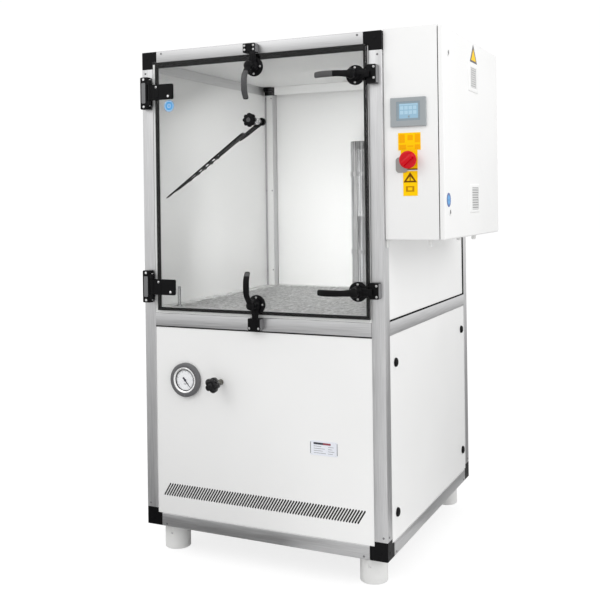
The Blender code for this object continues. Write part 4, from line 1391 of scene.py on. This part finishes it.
def build_pointer(x, z):
    """A slim needle with a broad tail, on its hub."""
    back = local_box("gauge_pointer")[0].y
    hub = Vector((x, z))
    angle = math.radians(DIAL_START)
    way = Vector((math.cos(angle), math.sin(angle)))
    side = Vector((-way.y, way.x))
    half_shape = [(0.034, 0.0003), (0.026, 0.001), (0.006, 0.0019), (-0.004, 0.0022), (-0.0095, 0.0036),
                  (-0.013, 0.003)]
    points = half_shape + [(a, -b) for a, b in reversed(half_shape)]
    outline = [(hub + way * a + side * b) for a, b in points]
    shape = bmesh.new()
    add_prism(shape, [tuple(p) for p in outline], (0, back + 0.0004, 0), X, Z, Y * 0.0008)
    add_turned(shape, [(0, 0.0096), (0.005, 0.0096), (0.005, 0.0116), (0.004, 0.0122), (0, 0.0124)], (x, 0, z),
               FORWARD, 28)
    finish_piece("gauge_needle", shape, "label_dark", "pointer", replaces=("gauge_pointer",))


VALVE = (0.34, 0.58)


def build_valve():
    """A five-lobed knob with a cap on a turned collar."""
    x, z = VALVE
    front = -local_box("valve_knob")[0].y
    back = 0.046
    sections = [(back, 0.015, 0.0), (back + 0.002, 0.0248, 0.004), (back + 0.006, 0.0282, 0.0072),
                (front - 0.012, 0.0298, 0.0084),
                (front - 0.008, 0.029, 0.008), (front - 0.004, 0.0262, 0.0066), (front - 0.0015, 0.0222, 0.0044),
                (front - 0.0003, 0.017, 0.0018), (front - 0.0012, 0.011, 0.0)]
    shape = bmesh.new()
    add_star(shape, here(x, 0, z), sections, 5, 16)
    finish_piece("valve_star", shape, "gloss_black", "valve", replaces=("valve_knob",), angle=55)
    stem = bmesh.new()
    profile = [(0, 0.0002), (0.0112, 0.0002), (0.0112, 0.0024), (0.0104, 0.0032), (0.0104, 0.01), (0.0116, 0.018),
               (0.0124, 0.019),
               (0.0124, 0.025), (0.0116, 0.026), (0.0112, back - 0.004), (0.0104, back + 0.001), (0, back + 0.001)]
    add_turned(stem, profile, (x, 0, z), FORWARD, 40)
    finish_piece("valve_collar", stem, "brass", "valve")
    cap = bmesh.new()
    add_turned(cap, [(0, front - 0.002), (0.0095, front - 0.002), (0.0092, front - 0.0002), (0.008, front + 0.0006),
                     (0, front + 0.0008)], (x, 0, z))
    finish_piece("valve_cap", cap, "gloss_black", "valve")


GLASS_DISC = (0.139, -0.0226, 1.632)


def build_label():
    """A plain riveted plate with a two-tone bar, ruled lines and dark edge strips of painted shade, and the round
    sticker on the glass.
    """
    front = local_box("front_lower_panel")[0].y
    plate = bmesh.new()
    add_prism(plate, rounded_rectangle(0.707, 0.346, 0.815, 0.398, 0.005), (0, front - 0.001, 0), X, Z, Y * 0.0009)
    finish_piece("data_plate", plate, "label_silver", bevel=0.0002)
    lines = bmesh.new()
    raised = front - 0.0012
    # The first two strips, down the plate's left and right edges, are painted shade.
    boxes = [(0.7078, 0.351, 0.7102, 0.393), (0.8118, 0.351, 0.8142, 0.393)]
    for x, widths in ((0.721, (0.03, 0.044, 0.036, 0.048)), (0.778, (0.022, 0.016, 0.024, 0.018))):
        boxes += [(x, z, x + width, z + 0.0013) for z, width in zip((0.378, 0.37, 0.362, 0.354), widths)]
    for x_low, z_low, x_high, z_high in boxes:
        add_box(lines, (x_low, raised, z_low), (x_high, raised + 0.0004, z_high))
    finish_piece("data_plate_lines_and_edge_shade", lines, "strip_grey")
    for part, look, x_low, x_high in (("dark", "label_dark", 0.721, 0.758), ("red", "label_red", 0.758, 0.788)):
        bar = bmesh.new()
        add_box(bar, (x_low, raised - 0.0001, 0.385), (x_high, raised + 0.0004, 0.3922))
        finish_piece(f"data_plate_bar_{part}", bar, look, slot="black_plastic")
    centres = [(x, front - 0.0006, z) for x in (0.714, 0.808) for z in (0.35, 0.394)]
    screws("data_plate_rivets", centres, "cabinet", 0.0014, 0.0008)
    sticker = bmesh.new()
    add_rod(sticker, 0.022, 0.0, 0.0004, GLASS_DISC, FORWARD, 56)
    finish_piece("glass_disc", sticker, "sky_blue", "door", "clear_glass")
    centre = bmesh.new()
    add_tube(centre, 0.0176, 0.019, 0.0, 0.0006, GLASS_DISC, FORWARD, 56)
    add_tube(centre, 0.006, 0.0076, 0.0, 0.0006, GLASS_DISC, FORWARD, 40)
    finish_piece("glass_disc_rings", centre, "dial_white", "door", "clear_glass")


def build_blower():
    """The drum with a rolled rim and bolted feet, its motor bell behind, and the folded beam it stands on."""
    low, high = local_box("circulation_blower")
    wheel_low, wheel_high = local_box("blower_wheel")
    middle = (wheel_low + wheel_high) / 2
    centre = (middle.x, 0, middle.z)
    radius = high.z - middle.z
    front = -low.y
    back = -high.y
    shape = bmesh.new()
    outline = [(radius - 0.004, front), (radius - 0.001, front), (radius, front - 0.003),
               (radius - 0.002, front - 0.008), (radius - 0.002, back + 0.008),
               (radius, back + 0.003), (radius - 0.001, back), (radius - 0.004, back)]
    add_ring(shape, outline, centre, FORWARD, 64)
    add_rod(shape, radius - 0.003, back, back + 0.004, centre, FORWARD, 64)
    finish_piece("blower_drum", shape, "machine_grey", replaces=("circulation_blower",))
    motor = bmesh.new()
    profile = [(0, back - 0.06), (0.04, back - 0.06), (0.052, back - 0.052)]
    for fin in range(6):
        along = back - 0.048 + fin * 0.007
        profile += [(0.05, along), (0.058, along + 0.001), (0.058, along + 0.003), (0.05, along + 0.004)]
    profile += [(0.06, back - 0.004), (0.06, back), (0, back)]
    add_turned(motor, profile, centre, FORWARD, 48)
    finish_piece("blower_motor", motor, "gauge_grey")
    stand = bmesh.new()
    thick = 0.004
    base = low.z
    add_box(stand, (low.x, low.y, base), (high.x, high.y, base + thick))
    for y in (low.y, high.y - thick):
        add_box(stand, (low.x, y, base + thick), (high.x, y + thick, base + 0.02))
    for x in (middle.x - 0.052, middle.x + 0.048):
        add_box(stand, (x, low.y + 0.01, base + thick), (x + thick, high.y - 0.01, middle.z - radius * 0.9))
    finish_piece("blower_stand", stand, "machine_grey", bevel=0.0012)
    centres = [(x, y, base + thick) for x in (low.x + 0.03, high.x - 0.03, middle.x - 0.1,
                                              middle.x + 0.1) for y in (low.y + 0.03, high.y - 0.03)]
    screws("blower_screws", centres, "cabinet", 0.006, 0.004, Z)


# ---------------------------------------------------------------- electrical enclosure


def side_outline(x, low, high, inset, radius):
    """A rounded rectangle seen from the right, at one X, as world points."""
    flat = rounded_rectangle(low.y + inset, low.z + inset, high.y - inset, high.z - inset, radius)
    return [here(x, y, z) for y, z in flat]


def build_enclosure():
    """The shell, its lip, what it holds, the cable glands below and its brackets."""
    low, high = local_box("enclosure_box")
    wall = 0.002
    shape = bmesh.new()
    sections = [side_outline(low.x, low, high, 0.0004, 0.004), side_outline(low.x + 0.0004, low, high, 0.0, 0.004),
                side_outline(high.x - 0.0008, low, high, 0.0, 0.004), side_outline(high.x, low, high, 0.0008, 0.004),
                side_outline(high.x, low, high, wall, 0.003), side_outline(low.x + wall, low, high, wall, 0.003)]
    add_loft(shape, sections)
    finish_piece("enclosure_shell", shape, "enclosure_paint", replaces=("enclosure_box",), angle=40)
    lip = bmesh.new()
    path = ((high.x - 0.01, wall), (high.x - 0.0004, wall), (high.x - 0.0004, 0.016), (high.x - 0.002, 0.016),
            (high.x - 0.002, wall + 0.002), (high.x - 0.01, wall + 0.002))
    add_hoop(lip, [side_outline(x, low, high, inset, 0.003) for x, inset in path])
    finish_piece("enclosure_lip", lip, "enclosure_paint", angle=40)
    build_enclosure_door()
    build_enclosure_gear(low, high)
    build_touch_panel()
    build_main_switch()
    glands = bmesh.new()
    nuts = bmesh.new()
    for x, y, radius in ((1.153, 0.05, 0.007), (1.11, 0.56, 0.011), (1.15, 0.64, 0.011)):
        profile = [(0, 0), (radius, 0), (radius, 0.006), (radius * 0.92, 0.007), (radius * 0.92, 0.02),
                   (radius * 0.75, 0.025), (radius * 0.42, 0.025), (radius * 0.4, 0.018), (0, 0.018)]
        add_turned(glands, profile, (x, y, low.z), -Z, 6)
        add_rod(nuts, radius * 1.15, 0, 0.002, (x, y, low.z), -Z)
    finish_piece("enclosure_glands", glands, "foot_white", slot="grey_panel", bevel=0.0006)
    finish_piece("enclosure_gland_washers", nuts, "foot_white", slot="grey_panel")
    bracket = bmesh.new()
    for y in (0.022, 0.72):
        add_box(bracket, (1.0003, y, low.z - 0.028), (1.0035, y + 0.03, low.z + 0.002))
        add_box(bracket, (1.0003, y, low.z - 0.0035), (1.012, y + 0.03, low.z - 0.0003))
    finish_piece("enclosure_brackets", bracket, "foot_white", slot="satin_aluminium", bevel=0.0006)


LOCK_HEIGHTS = (1.764, 1.215)


def build_enclosure_door():
    """The folded door with its gasket, two filter covers, two locks, hinge leaves and two plain signs."""
    low, high = local_box("enclosure_door")
    shape = bmesh.new()
    skin = 0.002
    radius = 0.005
    sections = [side_outline(high.x - skin, low, high, 0.01, 0.004), side_outline(low.x, low, high, 0.01, 0.004),
                side_outline(low.x, low, high, 0.0, 0.003)]
    for turn in range(5):
        angle = turn * math.pi / 8
        sections.append(side_outline(high.x - radius + radius * math.sin(angle), low, high,
                                     radius * (1 - math.cos(angle)), 0.004))
    add_loft(shape, sections)
    finish_piece("enclosure_door_skin", shape, "enclosure_paint", "enclosure_lid", replaces=("enclosure_door",),
                 angle=30)
    seal = bmesh.new()
    path = ((low.x + 0.002, 0.0035), (low.x - 0.003, 0.004), (low.x - 0.003, 0.015), (low.x + 0.002, 0.016))
    add_hoop(seal, [side_outline(x, low, high, inset, 0.004) for x, inset in path])
    finish_piece("enclosure_gasket", seal, "rubber", "enclosure_lid", bevel=0.001)
    build_vent("upper", (0.338, 0.478, 1.66, 1.768), (0.3685, 0.4505, 1.676, 1.751), high.x)
    build_vent("lower", (0.338, 0.478, 1.207, 1.315), (0.37, 0.463, 1.218, 1.302), high.x)
    rings = bmesh.new()
    cores = bmesh.new()
    for z in LOCK_HEIGHTS:
        centre = (high.x, 0.074, z)
        add_ring(rings, [(0.0085, -0.0005), (0.0125, -0.0005), (0.0125, 0.0014), (0.0115, 0.0024), (0.0092, 0.0024),
                         (0.0085, 0.0014)], centre, X, 40)
        add_turned(cores, [(0, 0.0), (0.0083, 0.0), (0.0083, 0.0012), (0.0079, 0.0016), (0.0046, 0.0016),
                           (0.004, -0.0004), (0, -0.0004)], centre, X, 40)
        add_box(cores, (high.x - 0.0004, 0.0722, z - 0.0038), (high.x + 0.0014, 0.0758, z + 0.0038))
    finish_piece("enclosure_lock_rings", rings, "enclosure_paint", "enclosure_lid")
    finish_piece("enclosure_lock_cores", cores, "strip_grey", "enclosure_lid")
    cams = bmesh.new()
    for z in LOCK_HEIGHTS:
        add_rod(cams, 0.0075, 0.0, 0.026, (high.x - 0.0018, 0.074, z), -X, 24)
        add_box(cams, (low.x - 0.0125, 0.064, z - 0.008), (low.x - 0.01, 0.106, z + 0.008))
    finish_piece("enclosure_lock_cams", cams, "screw_steel", "enclosure_lid", bevel=0.0004)
    hinges = bmesh.new()
    for z in (1.22, 1.75):
        add_rod(hinges, 0.0038, -0.03, 0.03, (1.2035, 0.7835, z), Z, 20)
        add_box(hinges, (low.x + 0.0012, 0.752, z - 0.018), (low.x + 0.006, 0.784, z + 0.018))
    finish_piece("enclosure_hinge_leaves", hinges, "screw_steel", "enclosure_lid", bevel=0.0004)
    edge = bmesh.new()
    face = bmesh.new()
    corners = [(0.416, 1.842), (0.3655, 1.7725), (0.47, 1.7725)]
    inner = [(0.416, 1.824), (0.383, 1.78), (0.452, 1.78)]
    for target, points, rise in ((edge, corners, 0.0004), (face, inner, 0.0006)):
        add_prism(target, points, (high.x - 0.0002, 0, 0), Y, Z, X * (rise + 0.0002))
    finish_piece("door_sign_edge", edge, "label_dark", "enclosure_lid")
    finish_piece("door_sign_face", face, "yellow", "enclosure_lid")
    disc_place = (high.x, 0.06, 1.257)
    disc = bmesh.new()
    add_rod(disc, 0.0245, 0, 0.0004, disc_place, X, 56)
    finish_piece("door_disc", disc, "navy", "enclosure_lid")
    middle = bmesh.new()
    add_tube(middle, 0.004, 0.0165, 0.0, 0.0006, disc_place, X, 40)
    finish_piece("door_disc_ring", middle, "sky_blue", "enclosure_lid", "enclosure_paint")


def build_vent(name, outer, inner, face):
    """A snap-in filter cover: a low rounded frame with slanted louvres over a filter mat."""
    y_low, y_high, z_low, z_high = outer
    a_low, a_high, b_low, b_high = inner
    low = Vector((0, y_low, z_low))
    high = Vector((0, y_high, z_high))
    grille_low = Vector((0, a_low, b_low))
    grille_high = Vector((0, a_high, b_high))
    frame_shape = bmesh.new()
    sections = [side_outline(face - 0.0004, low, high, 0.0, 0.006),
                side_outline(face + 0.0012, low, high, 0.0004, 0.006),
                side_outline(face + 0.0024, low, high, 0.0025, 0.005),
                side_outline(face + 0.0024, grille_low, grille_high, -0.001, 0.003),
                side_outline(face + 0.002, grille_low, grille_high, 0.0, 0.003),
                side_outline(face - 0.0004, grille_low, grille_high, 0.0, 0.003)]
    add_hoop(frame_shape, sections)
    finish_piece(f"vent_{name}_frame", frame_shape, "enclosure_paint", "enclosure_lid", angle=50)
    # The slats are a darker grey than the frame: painted shade of the louvres.
    slats = bmesh.new()
    count = 9
    step = (b_high - b_low) / count
    for index in range(count):
        z = b_low + index * step
        outline = [(0.0003, 0.001), (0.0008, 0.001), (0.002, step - 0.0036), (0.002, step - 0.002),
                   (0.0015, step - 0.002), (0.0003, 0.0022)]
        add_prism(slats, outline, (face, a_low, z), X, Z, Y * (a_high - a_low))
    finish_piece(f"vent_{name}_slats", slats, "louvre_shade_grey", "enclosure_lid")
    mat = bmesh.new()
    add_box(mat, (face - 0.0002, a_low, b_low), (face + 0.0005, a_high, b_high))
    finish_piece(f"vent_{name}_filter", mat, "strip_grey", "enclosure_lid")


def build_enclosure_gear(low, high):
    """The mounting plate with two rails of modules, slotted ducts and a terminal strip."""
    plate_x = low.x + 0.012
    shape = bmesh.new()
    add_box(shape, (plate_x, low.y + 0.045, low.z + 0.03), (plate_x + 0.002, high.y - 0.04, high.z - 0.03))
    for y in (low.y + 0.06, high.y - 0.06):
        for z in (low.z + 0.05, high.z - 0.05):
            add_rod(shape, 0.006, -0.009, 0.001, (plate_x, y, z), X, 16)
    finish_piece("gear_plate", shape, "hopper_steel", slot="satin_aluminium", bevel=0.0005)
    front = plate_x + 0.002
    rails = bmesh.new()
    for z in (1.66, 1.42, 1.22):
        outline = [(0.0, -0.0135), (0.0, 0.0135), (0.0065, 0.0135), (0.0065, 0.0175), (0.0078, 0.0175),
                   (0.0078, 0.0122), (0.0013, 0.0122), (0.0013, -0.0122), (0.0078, -0.0122), (0.0078, -0.0175),
                   (0.0065, -0.0175), (0.0065, -0.0135)]
        add_prism(rails, outline, (front, low.y + 0.06, z), X, Z, Y * (high.y - low.y - 0.12))
    finish_piece("gear_rails", rails, "screw_steel")
    modules = bmesh.new()
    faces = bmesh.new()
    rows = ((1.66, ((0.09, 0.036, 0.07), (0.128, 0.036, 0.07), (0.168, 0.054, 0.072), (0.24, 0.018, 0.066),
                    (0.26, 0.018, 0.066), (0.28, 0.018, 0.066), (0.33, 0.09, 0.1), (0.44, 0.06, 0.09),
                    (0.52, 0.12, 0.11))),
            (1.42, ((0.09, 0.045, 0.085), (0.138, 0.045, 0.085), (0.186, 0.045, 0.085), (0.26, 0.075, 0.105),
                    (0.35, 0.075, 0.105), (0.45, 0.022, 0.07), (0.475, 0.022, 0.07), (0.5, 0.022, 0.07),
                    (0.525, 0.022, 0.07), (0.58, 0.1, 0.095))))
    for z, row in rows:
        for y, width, height in row:
            depth = 0.06 if height < 0.08 else 0.085
            add_box(modules, (front + 0.008, y, z - height / 2), (front + depth, y + width - 0.001, z + height / 2))
            add_box(faces, (front + depth, y + width * 0.18, z - height * 0.2),
                    (front + depth + 0.006, y + width * 0.8, z + height * 0.2))
    finish_piece("gear_modules", modules, "switch_grey", slot="grey_panel", bevel=0.0018)
    finish_piece("gear_module_faces", faces, "grey_plastic", bevel=0.0012)
    terminals = bmesh.new()
    for index in range(40):
        y = 0.1 + index * 0.0135
        add_box(terminals, (front + 0.008, y, 1.196), (front + 0.042, y + 0.0125, 1.244))
    finish_piece("gear_terminals", terminals, "panel_grey", bevel=0.001)
    ducts = bmesh.new()
    for z in (1.755, 1.545, 1.315):
        add_box(ducts, (front, low.y + 0.06, z - 0.018), (front + 0.003, high.y - 0.06, z + 0.018))
        for index in range(52):
            y = low.y + 0.061 + index * 0.0127
            for side in (-0.018, 0.016):
                add_box(ducts, (front + 0.003, y, z + side), (front + 0.05, y + 0.0075, z + side + 0.002))
        add_box(ducts, (front + 0.05, low.y + 0.06, z - 0.019), (front + 0.0515, high.y - 0.06, z + 0.019))
    finish_piece("gear_ducts", ducts, "liner_paint", slot="enclosure_paint")


def build_touch_panel():
    """A rounded frame, its recess, the screen with plain tiles, and one button bar."""
    low, high = local_box("touch_panel")
    front = low.y
    shape = bmesh.new()
    edge = 0.0014
    screen = (1.059, 1.539, 1.127, 1.59)
    recess = (screen[0] - 0.01, screen[1] - 0.0075, screen[2] + 0.0075, screen[3] + 0.0075)

    def flat(box, radius, y):
        return [here(x, y, z) for x, z in rounded_rectangle(*box, radius, 4)]

    outer = (low.x, low.z, high.x, high.z)
    small = (low.x + edge, low.z + edge, high.x - edge, high.z - edge)
    add_loft(shape, [flat(outer, 0.0015, high.y), flat(outer, 0.0015, front + 0.0012), flat(small, 0.001, front),
                     flat(recess, 0.002, front), flat(recess, 0.002, front + 0.001)])
    finish_piece("touch_panel_frame", shape, "panel_grey", replaces=("touch_panel",), angle=30)
    inset = bmesh.new()
    add_loft(inset, [flat(recess, 0.002, front + 0.003), flat(recess, 0.002, front + 0.0009)])
    finish_piece("touch_panel_inset", inset, "panel_edge")
    glass = bmesh.new()
    add_loft(glass, [flat(screen, 0.0015, front + 0.002), flat(screen, 0.0015, front + 0.0006)])
    finish_piece("touch_panel_screen", glass, "screen", bevel=0.0003)
    tiles = bmesh.new()
    width = (screen[2] - screen[0] - 0.01) / 4
    for row in range(2):
        for column in range(4):
            x = screen[0] + 0.0035 + column * (width + 0.001)
            z = screen[1] + 0.014 + row * 0.016
            add_box(tiles, (x, front + 0.0004, z), (x + width - 0.002, front + 0.0008, z + 0.0125))
    add_box(tiles, (screen[0] + 0.002, front + 0.0004, screen[3] - 0.0055),
            (screen[2] - 0.002, front + 0.0008, screen[3] - 0.002))
    finish_piece("touch_panel_tiles", tiles, "screen_tile")
    middle = (screen[0] + screen[2]) / 2 + 0.001
    bars = bmesh.new()
    add_box(bars, (middle - 0.003, front + 0.0004, screen[1] + 0.0025),
            (middle + 0.003, front + 0.0008, screen[1] + 0.0095))
    finish_piece("touch_panel_button", bars, "panel_edge")


def add_outline(shape, outer, inner, front):
    """A flat printed frame between two outlines of (x, z) points."""
    rows = ((outer, front), (inner, front), (inner, front + 0.0005), (outer, front + 0.0005))
    add_hoop(shape, [[here(x, y, z) for x, z in points] for points, y in rows])


def build_main_switch():
    """A red rotary handle with a grey painted shadow of it at its lower left, over two yellow plates with plain
    blocks and outlines.
    """
    face = 0.015
    plates = bmesh.new()
    for x_low, z_low, x_high, z_high in ((1.0515, 1.43, 1.1325, 1.49), (1.06, 1.365, 1.121, 1.4298),
                                         (1.068, 1.2725, 1.12, 1.358)):
        add_prism(plates, rounded_rectangle(x_low, z_low, x_high, z_high, 0.0015, 2), (0, face - 0.001, 0), X, Z,
                  Y * 0.0009)
    finish_piece("switch_plates", plates, "yellow", bevel=0.0002)
    blocks = bmesh.new()
    raised = face - 0.0013
    for x_low, z_low, x_high, z_high in ((1.055, 1.456, 1.076, 1.485), (1.055, 1.433, 1.08, 1.449),
                                         (1.112, 1.456, 1.13, 1.485), (1.112, 1.433, 1.13, 1.449),
                                         (1.086, 1.464, 1.105, 1.482), (1.085, 1.442, 1.107, 1.4455)):
        add_box(blocks, (x_low, raised, z_low), (x_high, raised + 0.0005, z_high))
    finish_piece("switch_plate_blocks", blocks, "amber")
    lines = bmesh.new()
    add_box(lines, (1.075, raised, 1.362), (1.1205, raised + 0.0005, 1.3665))
    triangle = [(1.0935, 1.354), (1.0695, 1.319), (1.1175, 1.319)]
    inner = [(1.0935, 1.341), (1.0795, 1.3245), (1.1075, 1.3245)]
    add_box(lines, (1.092, raised, 1.3245), (1.095, raised + 0.0005, 1.34))
    add_outline(lines, triangle, inner, raised)
    finish_piece("switch_plate_lines", lines, "brown")
    square = bmesh.new()
    outer = [(1.078, 1.287), (1.108, 1.287), (1.108, 1.306), (1.078, 1.306)]
    hollow = [(1.085, 1.2915), (1.101, 1.2915), (1.101, 1.302), (1.085, 1.302)]
    add_outline(square, outer, hollow, raised)
    finish_piece("switch_plate_square", square, "ochre")
    low, high = local_box("main_switch_knob")
    x, z = (low.x + high.x) / 2, (low.z + high.z) / 2
    # A flat grey plate sticking out at the knob's lower left: the knob's shadow on the panel, painted.
    base = bmesh.new()
    add_prism(base, rounded_rectangle(1.0425, 1.353, 1.085, 1.406, 0.012, 6), (0, 0.0106, 0), X, Z, Y * 0.003)
    finish_piece("switch_knob_painted_shadow", base, "switch_grey", slot="dark_grey_plastic", bevel=0.001)
    radius = (high.x - low.x) / 2
    knob = bmesh.new()
    profile = [(0, -high.y), (0.02, -high.y), (0.0208, -high.y + 0.001), (0.0208, 0.013), (radius - 0.004, 0.0136),
               (radius - 0.0012, 0.0148), (radius, 0.0165),
               (radius, 0.0205), (radius - 0.0008, 0.0226), (radius - 0.003, 0.0238), (radius - 0.006, 0.024),
               (0, 0.024)]
    add_turned(knob, profile, (x, 0, z), FORWARD, 64)
    finish_piece("switch_disc", knob, "red", "main_switch", replaces=("main_switch_knob",))
    grip = bmesh.new()
    way = Vector((math.cos(math.radians(40)), 0, math.sin(math.radians(40))))
    across = way.cross(Y).normalized()
    sections = []
    for depth, half_long, half_wide in ((0.022, 0.027, 0.0115), (0.0255, 0.0266, 0.0092), (0.031, 0.026, 0.008),
                                        (0.0345, 0.0252, 0.0072), (-low.y - 0.0002, 0.0236, 0.0056)):
        sections.append(oval_section(here(x, 0, z) + FORWARD * depth, way, across, half_long, half_wide, 5.0, 28))
    add_loft(grip, sections)
    finish_piece("switch_grip", grip, "red", "main_switch", angle=50)
    axle = bmesh.new()
    add_rod(axle, 0.003, -0.085, -high.y - 0.0002, (x, 0, z), FORWARD, 16)
    finish_piece("switch_axle", axle, "screw_steel", "main_switch")
    works = bmesh.new()
    add_box(works, (x - 0.028, 0.02, z - 0.03), (x + 0.028, 0.075, z + 0.03))
    for side in (-0.024, -0.008, 0.008):
        add_box(works, (x + side, 0.03, z - 0.036), (x + side + 0.012, 0.062, z + 0.036))
    finish_piece("switch_works", works, "grey_plastic", bevel=0.0015)


# ---------------------------------------------------------------- the whole object

build_stage()
build_frame()
frame_screws()
build_panels()
build_feet()
build_seal()
build_glass()
for hinge_level in ("lower", "upper"):
    build_hinge(hinge_level)
for latch_name in LATCHES:
    build_latch(latch_name)
    build_keeper(latch_name)
build_wiper()
build_chamber_floor()
build_duct()
build_stub_tube()
build_inner_fins()
build_machinery()
build_blower()
build_gauge()
build_valve()
build_label()
build_enclosure()
